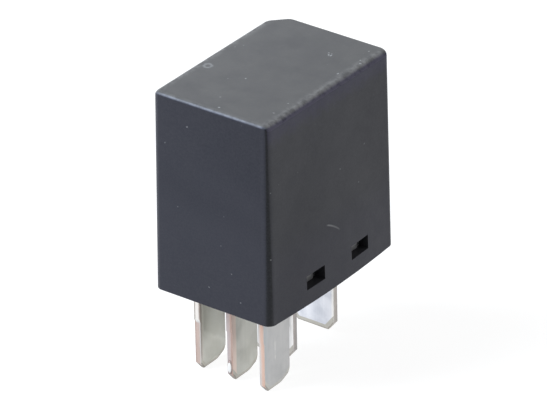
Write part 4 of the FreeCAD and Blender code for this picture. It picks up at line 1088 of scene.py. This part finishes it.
def make_winding_tree():
    """One layer of touching turns round a drum."""
    tree, start, end, identifiers = geometry_tree(
        "wound_wire",
        [
            ("Radius", FLOAT, 5.49 * MM),
            ("Wire Radius", FLOAT, WIRE),
            ("Bottom", FLOAT, 8.15 * MM),
            ("Height", FLOAT, 9.25 * MM),
            ("Turns", FLOAT, TURNS),
            ("Middle", VECTOR, (0.0, -0.0008, 0.0)),
            ("Drum Radius", FLOAT, 5.42 * MM),
        ],
    )
    take = start.outputs
    spiral = place(
        tree,
        "GeometryNodeCurveSpiral",
        {
            "Resolution": 36,
            "Rotations": take["Turns"],
            "Start Radius": take["Radius"],
            "End Radius": take["Radius"],
            "Height": take["Height"],
        },
    )
    ring = place(
        tree, "GeometryNodeCurvePrimitiveCircle", {"Resolution": 6, "Radius": take["Wire Radius"]}
    )
    wire = place(
        tree,
        "GeometryNodeCurveToMesh",
        {"Curve": spiral.outputs[0], "Profile Curve": ring.outputs[0], "Fill Caps": True},
    )
    lift = place(tree, "ShaderNodeCombineXYZ", {"Z": take["Bottom"]})
    foot = vector_calc(tree, "ADD", take["Middle"], lift.outputs[0])
    moved = place(
        tree, "GeometryNodeTransform", {"Geometry": wire.outputs[0], "Translation": foot}
    )
    drum = place(
        tree,
        "GeometryNodeMeshCylinder",
        {"Vertices": 72, "Radius": take["Drum Radius"], "Depth": take["Height"]},
    )
    half_height = calc(tree, "MULTIPLY", take["Height"], 0.5)
    drum_lift = place(tree, "ShaderNodeCombineXYZ", {"Z": half_height})
    drum_moved = place(
        tree,
        "GeometryNodeTransform",
        {
            "Geometry": drum.outputs["Mesh"],
            "Translation": vector_calc(tree, "ADD", foot, drum_lift.outputs[0]),
        },
    )
    joined = place(tree, "GeometryNodeJoinGeometry")
    tree.links.new(moved.outputs[0], joined.inputs[0])
    tree.links.new(drum_moved.outputs[0], joined.inputs[0])
    finish_geometry(tree, end, joined.outputs[0], MATERIALS["coil_copper"])
    return tree, identifiers


winding_tree, winding_inputs = make_winding_tree()
winding_low, winding_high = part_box("coil_winding")
winding_radius = (winding_high.x - winding_low.x) / 2
grow(
    "wire_winding",
    winding_tree,
    winding_inputs,
    {
        "Radius": winding_radius - WIRE,
        "Wire Radius": WIRE,
        "Bottom": winding_low.z + WIRE,
        "Height": winding_high.z - winding_low.z - 2 * WIRE,
        "Turns": TURNS,
        "Middle": tuple(((winding_low + winding_high) / 2) * Vector((1, 1, 0))),
        "Drum Radius": winding_radius - DRUM_INSET,
    },
    STILL,
    "coil_winding",
)
for side in ("left", "right"):
    dress(f"coil_lead_{side}", f"coil_wire_{side}", "coil_copper")


# Floor, surroundings, lamps and camera

blade_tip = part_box("coil_terminal_left")[0].z
FLOOR_REACH = 1.2
FLOOR_TONE = color(0.22, 0.22, 0.22)
FLOOR_GLOW = 0.9
LAMP_DISTANCE = 0.6
LAMP_SIZE = 0.35
LAMP_AIM_MM = 10.0


def seen_directly(tree):
    """One for rays straight from the camera, off gloss or through glass, else zero."""
    path = place(tree, "ShaderNodeLightPath").outputs
    seen = calc(tree, "MAXIMUM", path["Is Camera Ray"], path["Is Glossy Ray"])
    return calc(tree, "MAXIMUM", seen, path["Is Transmission Ray"])


def make_floor():
    mesh = bpy.data.meshes.new("floor")
    corners = [(-1, -1), (1, -1), (1, 1), (-1, 1)]
    spots = [(x * FLOOR_REACH, y * FLOOR_REACH, blade_tip) for x, y in corners]
    mesh.from_pydata(spots, [], [(0, 1, 2, 3)])
    floor = bpy.data.objects.new("floor", mesh)
    scene.collection.objects.link(floor)
    material = bpy.data.materials.new("floor_white")
    material.use_nodes = True
    tree = material.node_tree
    tree.nodes.clear()
    paint = place(tree, "ShaderNodeBsdfDiffuse", {"Color": FLOOR_TONE})
    strength = calc(tree, "MULTIPLY", seen_directly(tree), FLOOR_GLOW)
    glow = place(tree, "ShaderNodeEmission", {"Strength": strength})
    both = place(tree, "ShaderNodeAddShader", {0: paint.outputs[0], 1: glow.outputs[0]})
    place(tree, "ShaderNodeOutputMaterial", {"Surface": both.outputs[0]})
    mesh.materials.append(material)


def make_world():
    world = bpy.data.worlds.new("studio")
    scene.world = world
    world.use_nodes = True
    tree = world.node_tree
    tree.nodes.clear()
    around = place(
        tree, "ShaderNodeBackground", {"Color": color(0.96, 0.98, 1.0), "Strength": 0.3}
    )
    white = place(tree, "ShaderNodeBackground", {"Color": color(1, 1, 1), "Strength": 1.0})
    mixed = place(
        tree,
        "ShaderNodeMixShader",
        {0: seen_directly(tree), 1: around.outputs[0], 2: white.outputs[0]},
    )
    place(tree, "ShaderNodeOutputWorld", {"Surface": mixed.outputs[0]})


def add_lamp(name, direction, power, tint):
    """A square soft lamp that stands off from the relay's middle in a direction."""
    lamp = bpy.data.lights.new(name, "AREA")
    lamp.shape = "SQUARE"
    lamp.size = LAMP_SIZE
    lamp.energy = power
    lamp.color = tint
    holder = bpy.data.objects.new(name, lamp)
    scene.collection.objects.link(holder)
    outward = Vector(direction).normalized()
    holder.location = mm(0, 0, LAMP_AIM_MM) + outward * LAMP_DISTANCE
    holder.rotation_euler = (-outward).to_track_quat("-Z", "Y").to_euler()


# Camera as fitted to the photo. In pixels: the photo's width, the focal length and how far
# above the frame's middle the target lies.
AZIMUTH = math.radians(36.91)
ELEVATION = math.radians(28.47)
ROLL = math.radians(-1.043)
DISTANCE = 0.6729
TARGET_HEIGHT_MM = 12.849
PHOTO_WIDTH = 547
FOCAL_LENGTH = 5833.5
TARGET_ABOVE_MIDDLE = 37.16
AIM_DOWN = math.atan(TARGET_ABOVE_MIDDLE / FOCAL_LENGTH)
SENSOR_WIDTH = 36.0


def make_camera():
    data = bpy.data.cameras.new("camera")
    data.sensor_width = SENSOR_WIDTH
    data.lens = FOCAL_LENGTH / PHOTO_WIDTH * SENSOR_WIDTH
    data.clip_start = 0.05
    data.clip_end = 20.0
    camera = bpy.data.objects.new("camera", data)
    scene.collection.objects.link(camera)
    right = Vector((math.cos(AZIMUTH), math.sin(AZIMUTH), 0.0))
    back = Vector((
        math.sin(AZIMUTH) * math.cos(ELEVATION),
        -math.cos(AZIMUTH) * math.cos(ELEVATION),
        math.sin(ELEVATION),
    ))
    up = back.cross(right)
    turned_right = math.cos(ROLL) * right + math.sin(ROLL) * up
    turned_up = -math.sin(ROLL) * right + math.cos(ROLL) * up
    axes = Matrix((turned_right, turned_up, back)).transposed().to_4x4()
    target = mm(0, 0, TARGET_HEIGHT_MM)
    camera.matrix_world = (
        Matrix.Translation(target + back * DISTANCE)
        @ axes
        @ Matrix.Rotation(-AIM_DOWN, 4, "X")
    )
    scene.camera = camera


make_floor()
make_world()
add_lamp("lamp_front_left", (-0.53, -0.48, 0.7), 5.6, (0.84, 0.91, 1.0))
add_lamp("lamp_right", (0.82, 0.56, 0.12), 1.55, (1.0, 0.99, 0.97))
make_camera()
